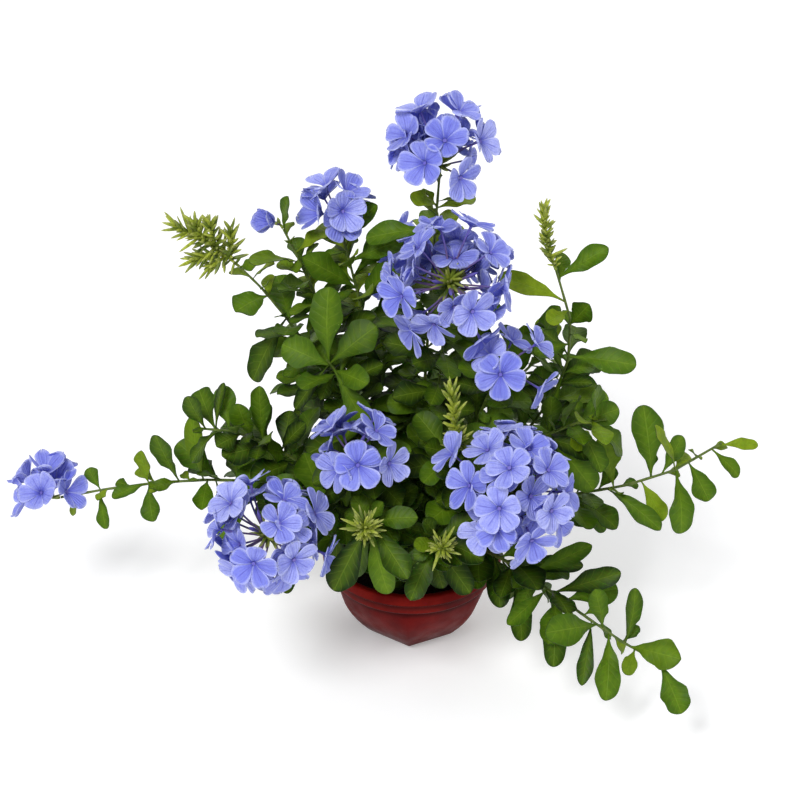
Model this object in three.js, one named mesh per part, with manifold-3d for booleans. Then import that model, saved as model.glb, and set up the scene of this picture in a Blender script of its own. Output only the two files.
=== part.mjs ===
// A potted cape plumbago: leafy stems that rise from one small bowl-shaped pot,
// with rounded heads of pale blue five-petalled flowers and sprays of green buds.
// Millimetres, +Z up. The origin is the centre of the pot's flat underside, and
// the plant's best side faces -Y.

import * as THREE from "three";
import { mergeVertices } from "three/addons/utils/BufferGeometryUtils.js";
import Module from "manifold-3d";

// Driving dimensions. A pair named "random" below holds the least value and how
// much more a random draw can add.

const POT = {
  height: 55,
  rimRadius: 51.5, // outer radius of the round lip
  baseRadius: 25, // to the corners of the six-sided foot
  wall: 2.2,
  floor: 2.6,
  lipHeight: 7, // the upper band of the rim
  lipWidth: 3.8,
  bandHeight: 7.5, // the slightly smaller band under it
  step: 3, // how far the body lies inside the band, and the band inside the lip
  bevel: 1,
  flare: 0.85, // the bowl curve: less than 1 is rounder
  roundFrom: 1.5, // how fast the six sides turn round towards the top
  sides: 6,
  steps: 24, // points round each ring
  turn: -4, // degrees that the front corner is turned from the viewer
};
const DRAIN = { count: 4, radius: 3.2, circle: 13, steps: 8 };
const SOIL = {
  level: 43,
  gap: 0.35,
  slack: 1.3, // more gap round the lower part, where the pot's sides turn
  edge: 1.5, // how far the level falls to the wall
  swell: 0.6,
  swellAt: 0.62, // the bumpy ring's radius, over the pot's
  bump: 1.6,
  holeClearance: 0.45,
};

const STEM = {
  bottom: 22,
  straightTo: 50,
  rootRadius: 1.7,
  tipRadius: 0.85,
  sides: 3, // of a stem, and also of a flower's tube and a bud
  step: 26, // length of its straight pieces, at most
  rootLean: 1.5, // the curve's first handle: how far out it is, over the root,
  rise: 0.34, // and how high, over the way to the tip
  bend: 0.62, // where the second handle is between the first one and the tip
};
const RACHIS = { radius: 1.15, taper: 0.1 };
const BUD = { radius: 1.5, widestAt: 0.5 };
const JOINT_GAP = 0.45; // between a stem's end and the flower head that it carries

const LEAF = {
  thickness: 0.7,
  tilt: 0.6, // how far the upper face turns from straight up: at random,
  outward: 0.35, // away from the pot's axis,
  forward: 0.25, // and towards -Y,
  shown: 0.9, // or that far towards -Y on a leaf that stands out
  petiole: 0.5, // least half width along the blade
  endWidth: 0.07, // the outline: its width at both ends, over its widest,
  widestBy: 2.1, // how near the tip it is widest,
  fullness: 0.72, // and how full it is
  widthShare: 0.235, // half width over length
  longest: 40, // a placed leaf's
  fold: 0.22, // how far the edges rise over the midrib, in half widths
  waves: 9, // radians of the edge's wave along the blade
  waveWidth: 4, // half width from which the edge waves fully
  randomDroop: [0.1, 0.22], // how far the tip hangs, over the length
  randomWave: [0.5, 0.9], // how far the edge waves
  rows: [0.5, 0.84], // where a blade is crossed,
  smallBelow: 30, // or, if it is shorter than this,
  smallRows: [0.72],
  foldAt: 0.7,
};

// The rule for the leaves that grow in a spiral.
const SPIRAL = {
  randomLength: [0.72, 0.42], // over the stem's own leaf length
  lengthFall: [1.08, 0.3], // the share at the root, and how much of it is lost to the tip
  randomLean: [46, 30], // degrees from the stem
  jitter: 30, // degrees of turn, at random
  flatten: 0.75, // how much of its rise a leaf keeps
  lift: 0.08,
  tryTurn: 61, // each further try turns by this many degrees,
  tryLean: 2, // leans by this many more,
  tryShorter: 0.035, // and is shorter by this share
};

const FLORET = {
  petals: 5,
  radius: 13.5,
  dish: 1.4, // how far the centre lies below the petal tips
  funnel: 2.8, // how far below the centre the petals run into the tube
  notch: 0.17, // the outline's points, as shares of the radius and degrees from a petal's middle
  shoulder: [0.86, 23],
  throatRadius: 1.05,
  footRadius: 0.6,
  randomSize: [0.9, 0.16],
  randomTube: [0.9, 0.24],
  jitter: 16, // degrees of turn, at random
  rachisShare: 0.75, // how much of the rachis carries florets, from its tip
  tries: 8,
  tryTurn: 17, // each further try turns by this many degrees,
  tryShorter: 0.05, // and its tube is shorter by this share
};

// The rule for the buds of a spray.
const SPRAY = { rachisShare: 0.85, randomSpread: [0.8, 0.3], randomLength: [0.75, 0.5] };

const GOLDEN_ANGLE = 137.5;
const CLEARANCE = 4.6; // between the points that stand for leaves, petals and stems
const POINT_STEP = 3.6; // how far apart those points are
const LEAF_TRIES = 14;
const TRY_SINK = 4; // a placed leaf's tip sinks by this at each further try

// Where each stream of random numbers starts. The items of a table start a step apart.
const SEED = { heads: 1009, sprays: 5003, leaves: 9001, soil: 4001, step: 71 };

// The plant.

// A leafy stem. root: where it enters the soil. tip: where it ends. arch: how far
// it bows up on its way. sway: how far it bows aside. leaves: how many grow by the
// spiral rule between two shares of its length, its span, and how long they are.
const STEM_TABLE = {
  top: { root: [3, 7], tip: [14, 30, 274], arch: 6, leaves: 8, span: [0.3, 0.93], long: 34 },
  upper_left: { root: [-7, 8], tip: [-40, 40, 239], arch: 10, leaves: 7, span: [0.28, 0.94], long: 38 },
  ring: { root: [7, -4], tip: [18, -10, 221], arch: 6, leaves: 9, span: [0.34, 0.88], long: 36 },
  lower_left: { root: [-15, -9], tip: [-71, -78, 122], arch: 24, leaves: 8, span: [0.3, 0.9], long: 35 },
  centre: { root: [-5, -15], tip: [-30, -57, 150], arch: 14, leaves: 7, span: [0.34, 0.86], long: 34 },
  right: { root: [13, -13], tip: [43, -72, 145], arch: 22, leaves: 8, span: [0.32, 0.88], long: 35 },
  far_left: { root: [-20, 1], tip: [-197, -10, 94], arch: 6, leaves: 7, span: [0.26, 0.62], long: 31 },
  bud_upper_left: { root: [-13, 12], tip: [-94, 26, 221], arch: 14, leaves: 6, span: [0.26, 0.66], long: 36 },
  spike: {
    root: [22, 9], tip: [76, 2, 232], arch: -46, sway: [54, 0], leaves: 8, span: [0.28, 0.8], long: 38,
  },
  bud_centre: { root: [-9, -19], tip: [-24, -82, 126], arch: 14, leaves: 5, span: [0.4, 0.9], long: 32 },
  bud_front: { root: [4, -21], tip: [14, -80, 112], arch: 12, leaves: 6, span: [0.4, 0.9], long: 30 },
  bud_middle: { root: [8, -12], tip: [22, -50, 152], arch: 10, leaves: 7, span: [0.36, 0.9], long: 34 },
  right_trail: { root: [21, -3], tip: [168, -22, 138], arch: -46, leaves: 7, span: [0.24, 0.56], long: 36 },
  lower_right_trail: {
    root: [17, -12], tip: [132, -110, 56], arch: -22, leaves: 6, span: [0.28, 0.56], long: 34,
  },
  single: { root: [-12, 3], tip: [-70, 32, 241], arch: 10, leaves: 5, span: [0.4, 0.84], long: 32 },
  ring_side: { root: [13, -6], tip: [46, -27, 186], arch: 8, leaves: 5, span: [0.4, 0.88], long: 32 },
  left_upper: { root: [-6, 0], tip: [-46, -14, 186], arch: 12, leaves: 5, span: [0.36, 0.97], long: 38 },
  left_middle: { root: [-19, -5], tip: [-116, -18, 145], arch: 20, leaves: 6, span: [0.3, 0.97], long: 33 },
  right_middle: { root: [18, 3], tip: [104, -26, 156], arch: 16, leaves: 7, span: [0.3, 0.97], long: 38 },
  back_left: { root: [-12, 17], tip: [-66, 82, 122], arch: 24, leaves: 8, span: [0.28, 0.97], long: 40 },
  back_right: { root: [12, 17], tip: [84, 82, 134], arch: 22, leaves: 8, span: [0.28, 0.97], long: 40 },
  back: { root: [0, 20], tip: [6, 104, 164], arch: 22, leaves: 7, span: [0.28, 0.9], long: 40 },
};
const STEMS = Object.entries(STEM_TABLE).map(([name, stem]) => ({ name, ...stem }));

// The leaves that stand out, as [share of the stem's length, the leaf's tip, half width].
const PLACED = {
  top: [
    [0.83, [-25, 22, 261], 6.5], [0.9, [4, 14, 272], 5],
  ],
  upper_left: [
    [0.85, [-10, 30, 238], 7], [0.7, [-18, 20, 225], 7.5], [0.76, [-60, 6, 242], 7],
    [0.6, [-55, -12, 191], 8], [0.66, [-24, 4, 174], 7.5], [0.56, [-37, -4, 160], 7.5],
  ],
  lower_left: [
    [0.9, [-68, -100, 94], 5], [0.5, [-45, -58, 69], 5],
  ],
  far_left: [
    [0.69, [-142, -16, 135], 5.5], [0.63, [-125, -12, 141], 5.5], [0.765, [-152, -12, 122], 4.2],
    [0.77, [-166, -18, 111], 4], [0.765, [-147, -22, 91], 5.5], [0.62, [-117, -26, 101], 5.5],
    [0.6, [-102, -30, 99], 4.5], [0.89, [-173, -20, 79], 3.5], [0.69, [-144, -22, 119], 4],
    [0.56, [-82, -24, 109], 7],
  ],
  bud_upper_left: [
    [0.74, [-99, 6, 154], 7.5], [0.84, [-94, 8, 209], 8], [0.92, [-104, 2, 207], 4.5],
    [1, [-87, 20, 227], 3.4], [0.58, [-68, 4, 172], 4],
  ],
  spike: [
    [0.98, [99, -4, 249], 5.5], [0.86, [92, -8, 215], 6], [0.76, [117, -12, 185], 7],
    [0.92, [51, 0, 237], 6], [0.66, [94, -8, 175], 3.6], [0.7, [72, -8, 157], 4],
    [0.8, [67, -12, 191], 5.5],
  ],
  bud_centre: [
    [0.9, [-5, -108, 152], 6.5], [0.8, [-38, -72, 72], 5.5], [0.95, [-10, -108, 121], 6],
  ],
  bud_front: [
    [0.86, [-1, -98, 93], 6], [0.6, [31, -74, 76], 6.5], [0.5, [16, -64, 71], 5.5],
  ],
  right_trail: [
    [0.79, [128, -18, 154], 8], [0.82, [148, -14, 135], 4.5], [0.86, [136, -36, 159], 3],
    [0.99, [186, -26, 142], 3.2], [0.97, [179, -30, 123], 4], [0.9, [163, -34, 109], 6.5],
    [0.86, [152, -40, 92], 7], [0.76, [139, -32, 107], 5.2], [0.66, [134, -46, 105], 5.5],
    [0.68, [106, -16, 136], 6.5],
  ],
  lower_right_trail: [
    [0.6, [105, -78, 90], 6], [0.58, [53, -92, 70], 4.5], [0.6, [79, -104, 43], 6.5],
    [0.76, [74, -112, 79], 8], [0.74, [91, -112, 56], 4], [0.78, [99, -92, 86], 5],
    [0.8, [105, -120, 44], 6.5], [0.88, [136, -116, 66], 7.5], [0.99, [142, -130, 44], 7],
    [0.86, [120, -98, 89], 4.5], [0.5, [100, -62, 100], 5], [0.42, [90, -54, 92], 4.5],
    [0.36, [48, -66, 65], 6], [0.46, [62, -80, 67], 6],
  ],
  single: [
    [0.99, [-70, 26, 262], 4], [0.86, [-82, 2, 250], 6],
  ],
  left_middle: [
    [0.97, [-122, -22, 165], 5], [0.92, [-106, -12, 168], 2.6], [0.7, [-84, -18, 167], 5],
    [0.62, [-64, -20, 168], 5], [0.8, [-106, -26, 140], 6],
  ],
  right_middle: [
    [0.86, [109, -24, 161], 6], [0.7, [102, -30, 123], 8], [0.8, [94, -28, 140], 6],
  ],
  left_upper: [
    [0.98, [-50, -8, 239], 9], [0.95, [-69, -12, 218], 8], [0.97, [-23, -14, 223], 8.5],
    [0.93, [-15, -46, 178], 6.5], [0.97, [-67, -18, 185], 4], [1, [-59, -30, 169], 7],
  ],
};

// A flower head at a stem's end. axis: where it points. spread: the angles from
// the axis, in degrees, of its first and last floret. tube: length of a corolla
// tube with its calyx. rachis: length of the stalk that the florets grow from.
const HEADS = [
  { stem: "top", axis: [0.02, -0.1, 1], florets: 12, spread: [16, 82], tube: 26, rachis: 14 },
  { stem: "upper_left", axis: [0.1, -0.2, 1], florets: 5, spread: [14, 70], tube: 17, rachis: 12 },
  { stem: "ring", axis: [0.05, -0.6, 0.8], florets: 13, spread: [42, 100], tube: 31, rachis: 16 },
  { stem: "single", axis: [-0.8, -0.35, 0.5], florets: 1, spread: [4, 14], tube: 12, rachis: 5 },
  { stem: "ring_side", axis: [0.4, -0.45, 0.75], florets: 3, spread: [26, 66], tube: 25, rachis: 6 },
  { stem: "lower_left", axis: [-0.2, -0.6, 0.75], florets: 14, spread: [26, 100], tube: 28, rachis: 16 },
  { stem: "centre", axis: [-0.05, -0.3, 0.95], florets: 7, spread: [28, 76], tube: 24, rachis: 5 },
  { stem: "right", axis: [0.36, -0.6, 0.7], florets: 17, spread: [12, 94], tube: 32, rachis: 22 },
  { stem: "far_left", axis: [-0.35, 0, 0.94], florets: 6, spread: [20, 74], tube: 19, rachis: 13 },
  { stem: "back", axis: [0, 0.75, 0.65], florets: 7, spread: [16, 92], tube: 27, rachis: 14 },
];

// A spray of pointed green buds at a stem's end.
const SPRAYS = [
  { stem: "bud_upper_left", axis: [-0.85, -0.1, 0.5], buds: 26, spread: [10, 88], bud: 13, rachis: 42 },
  { stem: "spike", axis: [-0.02, 0, 1], buds: 15, spread: [14, 62], bud: 9, rachis: 38 },
  { stem: "bud_centre", axis: [0, -0.55, 0.8], buds: 16, spread: [8, 100], bud: 13, rachis: 14 },
  { stem: "bud_front", axis: [0.1, -0.6, 0.75], buds: 9, spread: [8, 96], bud: 13, rachis: 10 },
  { stem: "bud_middle", axis: [0, -0.5, 0.85], buds: 9, spread: [8, 80], bud: 13, rachis: 16 },
];

// Small tools.

const radians = (degrees) => (degrees * Math.PI) / 180;
const vector = (xyz) => new THREE.Vector3(...xyz);
const UP = new THREE.Vector3(0, 0, 1);

// A repeatable stream of numbers from 0 to 1, by the Lehmer rule.
const LEHMER = { factor: 16807, modulus: 2147483647 };

function randomStream(seed) {
  let state = seed;
  return () => {
    state = (state * LEHMER.factor) % LEHMER.modulus;
    return state / LEHMER.modulus;
  };
}

// A draw from a pair of the least value and how much more there can be.
const drawn = ([least, more], random) => least + more * random();

// Two unit vectors that stand square to an axis.
const NEARLY_UPRIGHT = 0.9;

function acrossAxis(axis) {
  const reference = Math.abs(axis.z) > NEARLY_UPRIGHT ? new THREE.Vector3(0, 1, 0) : UP;
  const first = new THREE.Vector3().crossVectors(reference, axis).normalize();
  return [first, new THREE.Vector3().crossVectors(axis, first)];
}

// The direction at an angle from an axis, turned round it by another angle.
function leaning(axis, angle, turn) {
  const [first, second] = acrossAxis(axis);
  const out = first.multiplyScalar(Math.cos(turn)).addScaledVector(second, Math.sin(turn));
  return axis.clone().multiplyScalar(Math.cos(angle)).addScaledVector(out, Math.sin(angle)).normalize();
}

// Where things are, so that none grows through another.

const crowd = new Map();
const cellOf = (value) => Math.floor(value / CLEARANCE);

function occupy(points, owner) {
  for (const p of points) {
    const key = `${cellOf(p.x)},${cellOf(p.y)},${cellOf(p.z)}`;
    if (!crowd.has(key)) crowd.set(key, []);
    crowd.get(key).push({ p, owner });
  }
}

function isFree(points, ownStem) {
  for (const p of points) {
    const [i, j, k] = [cellOf(p.x), cellOf(p.y), cellOf(p.z)];
    for (let a = i - 1; a <= i + 1; a++)
      for (let b = j - 1; b <= j + 1; b++)
        for (let c = k - 1; c <= k + 1; c++)
          for (const other of crowd.get(`${a},${b},${c}`) ?? [])
            if (other.owner !== ownStem && other.p.distanceTo(p) < CLEARANCE) return false;
  }
  return true;
}

// Stems.

// A stem runs straight up through the soil, and then on one cubic curve to its tip.
function stemCurve(stem) {
  const [x, y] = stem.root;
  const start = new THREE.Vector3(x, y, STEM.straightTo);
  const tip = vector(stem.tip);
  const rise = STEM.rise * start.distanceTo(tip);
  const first = new THREE.Vector3(x * STEM.rootLean, y * STEM.rootLean, STEM.straightTo + rise);
  const bow = new THREE.Vector3(...(stem.sway ?? [0, 0]), stem.arch);
  const second = first.clone().lerp(tip, STEM.bend).add(bow);
  return new THREE.CubicBezierCurve3(start, first, second, tip);
}

const stemRadius = (t) => STEM.rootRadius + (STEM.tipRadius - STEM.rootRadius) * Math.sqrt(t);

// The stem's own axis is a chain of straight pieces between points of that curve.
function stemPoint(stem, share) {
  const along = share * stem.pieces;
  const index = Math.min(stem.pieces - 1, Math.floor(along));
  const from = stem.curve.getPoint(index / stem.pieces);
  const to = stem.curve.getPoint((index + 1) / stem.pieces);
  return from.lerp(to, along - index);
}

for (const stem of STEMS) {
  stem.curve = stemCurve(stem);
  stem.length = stem.curve.getLength();
  stem.pieces = Math.ceil(stem.length / STEM.step);
  stem.end = stem.curve.getPoint(1);
  stem.heading = stem.curve.getTangent(1);
  const count = Math.ceil(stem.length / POINT_STEP);
  const points = [];
  for (let i = 0; i <= count; i++) points.push(stemPoint(stem, i / count));
  occupy(points, stem.name);
}

// Leaves.

// Half the width of a leaf, over its widest, at a share u of its length: narrow
// at the root and widest near the rounded end.
function leafOutline(u) {
  const swell = Math.max(0, Math.sin(Math.PI * u ** LEAF.widestBy)) ** LEAF.fullness;
  return LEAF.endWidth + (1 - LEAF.endWidth) * swell;
}

// A point of the blade's middle surface. u runs along it, v from edge to edge.
function leafPoint(leaf, u, v) {
  const half = u >= 1 ? 0 : Math.max(LEAF.petiole, leaf.half * leafOutline(u));
  const wave = leaf.wave * Math.sin(leaf.phase + u * LEAF.waves) * v * v * Math.min(1, half / LEAF.waveWidth);
  const lift = LEAF.fold * half * Math.abs(v) - leaf.droop * leaf.long * u * u + wave;
  return leaf.from
    .clone()
    .addScaledVector(leaf.along, leaf.long * u)
    .addScaledVector(leaf.side, half * v)
    .addScaledVector(leaf.face, lift);
}

// The points that stand for a leaf leave out its narrow root, so that leaves can
// grow in tufts.
const TUFT_SHARE = 0.25;
const SAMPLES_ACROSS = [-1, -0.5, 0, 0.5, 1];

function leafSamples(leaf) {
  const rows = Math.ceil((leaf.long * (1 - TUFT_SHARE)) / POINT_STEP);
  const points = [];
  for (let i = 0; i <= rows; i++) {
    const u = TUFT_SHARE + ((1 - TUFT_SHARE) * i) / rows;
    for (const v of SAMPLES_ACROSS) points.push(leafPoint(leaf, u, v));
  }
  return points;
}

// A leaf's frame: along its length, towards its upper face, and to its side.
function makeLeaf(from, along, long, half, random, forward = LEAF.forward) {
  const tilt = new THREE.Vector3(random() - 0.5, random() - 0.5, 0).multiplyScalar(LEAF.tilt);
  tilt.addScaledVector(new THREE.Vector3(from.x, from.y, 0).normalize(), LEAF.outward);
  tilt.y -= forward;
  const droop = drawn(LEAF.randomDroop, random);
  const wave = drawn(LEAF.randomWave, random);
  const phase = 2 * Math.PI * random();
  const up = UP.clone().add(tilt);
  const side = new THREE.Vector3().crossVectors(along, up).normalize();
  const face = new THREE.Vector3().crossVectors(side, along).normalize();
  return { from, along, side, face, long, half, droop, wave, phase };
}

// The leaves that stand out come first, each from a place on the stem to its tip,
// which sinks until the leaf is clear.
function placedLeaf(stem, [share, tip, half], random) {
  const from = stemPoint(stem, share);
  for (let k = 0; k < LEAF_TRIES; k++) {
    const along = vector(tip).sub(from);
    along.z -= TRY_SINK * k;
    const long = Math.min(LEAF.longest, along.length());
    const leaf = makeLeaf(from, along.normalize(), long, half, random, LEAF.shown);
    if (isFree(leafSamples(leaf), stem.name)) return leaf;
  }
  return null;
}

// The others grow in a spiral. Each tries a few turns until it is clear.
function spiralLeaf(stem, index, random) {
  const [low, high] = stem.span;
  const [lengthAtRoot, lost] = SPIRAL.lengthFall;
  const share = low + ((high - low) * (index + 0.5)) / stem.leaves;
  const from = stemPoint(stem, share);
  const heading = stem.curve.getTangent(share);
  const size = stem.long * drawn(SPIRAL.randomLength, random) * (lengthAtRoot - lost * share);
  const lean = drawn(SPIRAL.randomLean, random);
  const jitter = SPIRAL.jitter * random();
  for (let k = 0; k < LEAF_TRIES; k++) {
    const turn = radians(GOLDEN_ANGLE * index + SPIRAL.tryTurn * k + jitter);
    const along = leaning(heading, radians(lean + SPIRAL.tryLean * k), turn);
    along.z = along.z * SPIRAL.flatten + SPIRAL.lift;
    along.normalize();
    const long = size * (1 - SPIRAL.tryShorter * k);
    const leaf = makeLeaf(from, along, long, long * LEAF.widthShare, random);
    if (isFree(leafSamples(leaf), stem.name)) return leaf;
  }
  return null;
}

// Flower heads and bud sprays.

// A rachis leaves its stem straight and bends to the head's axis.
function rachisPoint(head, share) {
  const elbow = head.start.clone().addScaledVector(head.stem.heading, head.rachis / 2);
  const end = elbow.clone().addScaledVector(head.axis, head.rachis / 2);
  return new THREE.QuadraticBezierCurve3(head.start, elbow, end).getPoint(share);
}

// The points that stand for a floret: three rings on its disc, and its tube past
// the first two steps, where the tubes of a head come together.
const DISC_RINGS = [0.35, 0.7, 1];
const DISC_POINTS = 12;
const TUBE_FROM = 2;

function floretSamples(floret) {
  const points = [];
  const [first, second] = acrossAxis(floret.out);
  for (const ring of DISC_RINGS)
    for (let i = 0; i < DISC_POINTS; i++) {
      const a = (2 * Math.PI * i) / DISC_POINTS;
      points.push(
        floret.centre
          .clone()
          .addScaledVector(first, ring * floret.radius * Math.cos(a))
          .addScaledVector(second, ring * floret.radius * Math.sin(a)),
      );
    }
  const steps = Math.ceil(floret.tube / POINT_STEP);
  for (let i = TUBE_FROM; i <= steps; i++)
    points.push(floret.from.clone().lerp(floret.centre, i / steps));
  return points;
}

function headFlorets(head, random) {
  const florets = [];
  const [nearest, widest] = head.spread.map(radians);
  for (let i = 0; i < head.florets; i++) {
    const share = (i + 0.5) / head.florets;
    const level = Math.cos(nearest) + (Math.cos(widest) - Math.cos(nearest)) * share;
    const from = rachisPoint(head, 1 - FLORET.rachisShare * share);
    const size = drawn(FLORET.randomSize, random);
    const tube = head.tube * drawn(FLORET.randomTube, random);
    const spin = ((2 * Math.PI) / FLORET.petals) * random();
    const jitter = FLORET.jitter * random();
    for (let k = 0; k < FLORET.tries; k++) {
      const turn = radians(GOLDEN_ANGLE * i + FLORET.tryTurn * k + jitter);
      const out = leaning(head.axis, Math.acos(level), turn);
      const length = tube * (1 - FLORET.tryShorter * k);
      const centre = from.clone().addScaledVector(out, length);
      const floret = { from, out, centre, tube: length, radius: FLORET.radius * size, spin };
      if (isFree(floretSamples(floret), head.stem.name)) {
        florets.push(floret);
        break;
      }
    }
  }
  return florets;
}

const BUD_SHARES = [0.4, 0.7, 1];
const budPoint = (bud, share) => bud.from.clone().addScaledVector(bud.out, bud.long * share);
const budSamples = (bud) => BUD_SHARES.map((share) => budPoint(bud, share));

function sprayBuds(spray, random) {
  const buds = [];
  const [nearest, widest] = spray.spread.map(radians);
  for (let i = 0; i < spray.buds; i++) {
    const share = (i + 0.5) / spray.buds;
    const from = rachisPoint(spray, 1 - SPRAY.rachisShare * share);
    const angle = nearest + (widest - nearest) * Math.sqrt(share) * drawn(SPRAY.randomSpread, random);
    const out = leaning(spray.axis, angle, radians(GOLDEN_ANGLE * i));
    const bud = { from, out, long: spray.bud * drawn(SPRAY.randomLength, random) };
    if (isFree(budSamples(bud), spray.stem.name)) buds.push(bud);
  }
  return buds;
}

// The layout, in a fixed order.

const stemNamed = (name) => STEMS.find((stem) => stem.name === name);

function startAtStem(item) {
  item.stem = stemNamed(item.stem);
  item.axis = vector(item.axis).normalize();
  item.start = item.stem.end.clone().addScaledVector(item.stem.heading, JOINT_GAP);
}

HEADS.forEach((head, index) => {
  startAtStem(head);
  head.items = headFlorets(head, randomStream(SEED.heads + SEED.step * index));
  for (const floret of head.items) occupy(floretSamples(floret), `${head.stem.name} head`);
});

SPRAYS.forEach((spray, index) => {
  startAtStem(spray);
  spray.items = sprayBuds(spray, randomStream(SEED.sprays + SEED.step * index));
  for (const bud of spray.items) occupy(budSamples(bud), `${spray.stem.name} spray`);
});

function keepLeaf(stem, leaf) {
  if (!leaf) return;
  stem.items.push(leaf);
  occupy(leafSamples(leaf), `${stem.name} leaf`);
}

STEMS.forEach((stem, index) => {
  stem.random = randomStream(SEED.leaves + SEED.step * index);
  stem.items = [];
  for (const place of PLACED[stem.name] ?? []) keepLeaf(stem, placedLeaf(stem, place, stem.random));
});

for (const stem of STEMS)
  for (let i = 0; i < stem.leaves; i++) keepLeaf(stem, spiralLeaf(stem, i, stem.random));

// Solids.

const wasm = await Module();
wasm.setup();

function geometryOf(points, triangles) {
  const positions = points.flatMap((p) => [p.x, p.y, p.z]);
  return new THREE.BufferGeometry()
    .setAttribute("position", new THREE.Float32BufferAttribute(positions, 3))
    .setIndex(triangles.flat());
}

const SAME_POINT = 1e-4; // points nearer than this are one

function solidOf(geometry) {
  const merged = mergeVertices(geometry, SAME_POINT);
  return new wasm.Manifold(
    new wasm.Mesh({
      numProp: 3,
      vertProperties: new Float32Array(merged.attributes.position.array),
      triVerts: new Uint32Array(merged.index.array),
    }),
  );
}

const joined = (solids) => solids.reduce((sum, solid) => sum.add(solid));

// Rings of equally many points, joined side to side and closed at both ends.
function loft(rings) {
  const n = rings[0].length;
  const points = rings.flat();
  const triangles = [];
  for (let r = 0; r + 1 < rings.length; r++)
    for (let i = 0; i < n; i++) {
      const [a, b] = [r * n + i, r * n + ((i + 1) % n)];
      triangles.push([a, b, b + n], [a, b + n, a + n]);
    }
  const middle = (ring) => ring.reduce((sum, p) => sum.add(p), new THREE.Vector3()).divideScalar(n);
  const [first, last] = [points.length, points.length + 1];
  points.push(middle(rings[0]), middle(rings.at(-1)));
  const lastRing = (rings.length - 1) * n;
  for (let i = 0; i < n; i++) {
    triangles.push([first, (i + 1) % n, i], [last, lastRing + i, lastRing + ((i + 1) % n)]);
  }
  return geometryOf(points, triangles);
}

// A tapered round rod through points, with the radius given at each.
function rod(centres, radii, sides) {
  let [first] = acrossAxis(centres[1].clone().sub(centres[0]).normalize());
  const rings = centres.map((centre, i) => {
    const before = centres[Math.max(0, i - 1)];
    const after = centres[Math.min(centres.length - 1, i + 1)];
    const axis = after.clone().sub(before).normalize();
    first = first.clone().addScaledVector(axis, -first.dot(axis)).normalize();
    const second = new THREE.Vector3().crossVectors(axis, first);
    return Array.from({ length: sides }, (_, k) => {
      const a = (2 * Math.PI * k) / sides;
      return centre
        .clone()
        .addScaledVector(first, radii[i] * Math.cos(a))
        .addScaledVector(second, radii[i] * Math.sin(a));
    });
  });
  return loft(rings);
}

function stemSolid(stem) {
  const [x, y] = stem.root;
  const centres = [new THREE.Vector3(x, y, STEM.bottom)];
  const radii = [STEM.rootRadius];
  for (let i = 0; i <= stem.pieces; i++) {
    centres.push(stem.curve.getPoint(i / stem.pieces));
    radii.push(stemRadius(i / stem.pieces));
  }
  return solidOf(rod(centres, radii, STEM.sides));
}

// One blade: an upper and a lower surface split into triangles alike, and an edge
// between them. It narrows to nothing at its root, sunk in the stem, folds round one
// point of the midrib, and ends in one tip that both surfaces share.
function leafSolid(leaf) {
  const small = leaf.long < LEAF.smallBelow;
  const rows = small ? LEAF.smallRows : LEAF.rows;
  const middle = rows.flatMap((u) => [leafPoint(leaf, u, -1), leafPoint(leaf, u, 1)]);
  const fold = middle.push(leafPoint(leaf, LEAF.foldAt, 0)) - 1;
  const root = middle.push(leaf.from.clone()) - 1;
  const n = middle.length;
  const tip = 2 * n;
  const half = LEAF.thickness / 2;
  const shifted = (by) => middle.map((p) => p.clone().addScaledVector(leaf.face, by));
  const points = [...shifted(half), ...shifted(-half), leafPoint(leaf, 1, 0)];
  const left = rows.map((_, i) => 2 * i);
  const right = rows.map((_, i) => 2 * i + 1);
  const rim = [...right, tip, ...left.reverse()];
  const upper = small ? [] : [[root, rim[0], rim.at(-1)]];
  const fan = small ? [root, ...rim] : rim;
  fan.forEach((a, i) => upper.push([fold, a, fan[(i + 1) % fan.length]]));
  const under = (i) => (i === tip ? tip : i + n);
  const triangles = upper.flatMap(([a, b, c]) => [[a, b, c], [under(a), under(c), under(b)]]);
  const edge = [root, ...rim];
  edge.forEach((a, i) => {
    const b = edge[(i + 1) % edge.length];
    if (a !== tip) triangles.push([a, under(a), under(b)]);
    if (b !== tip) triangles.push([a, under(b), b]);
  });
  return solidOf(geometryOf(points, triangles));
}

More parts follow.
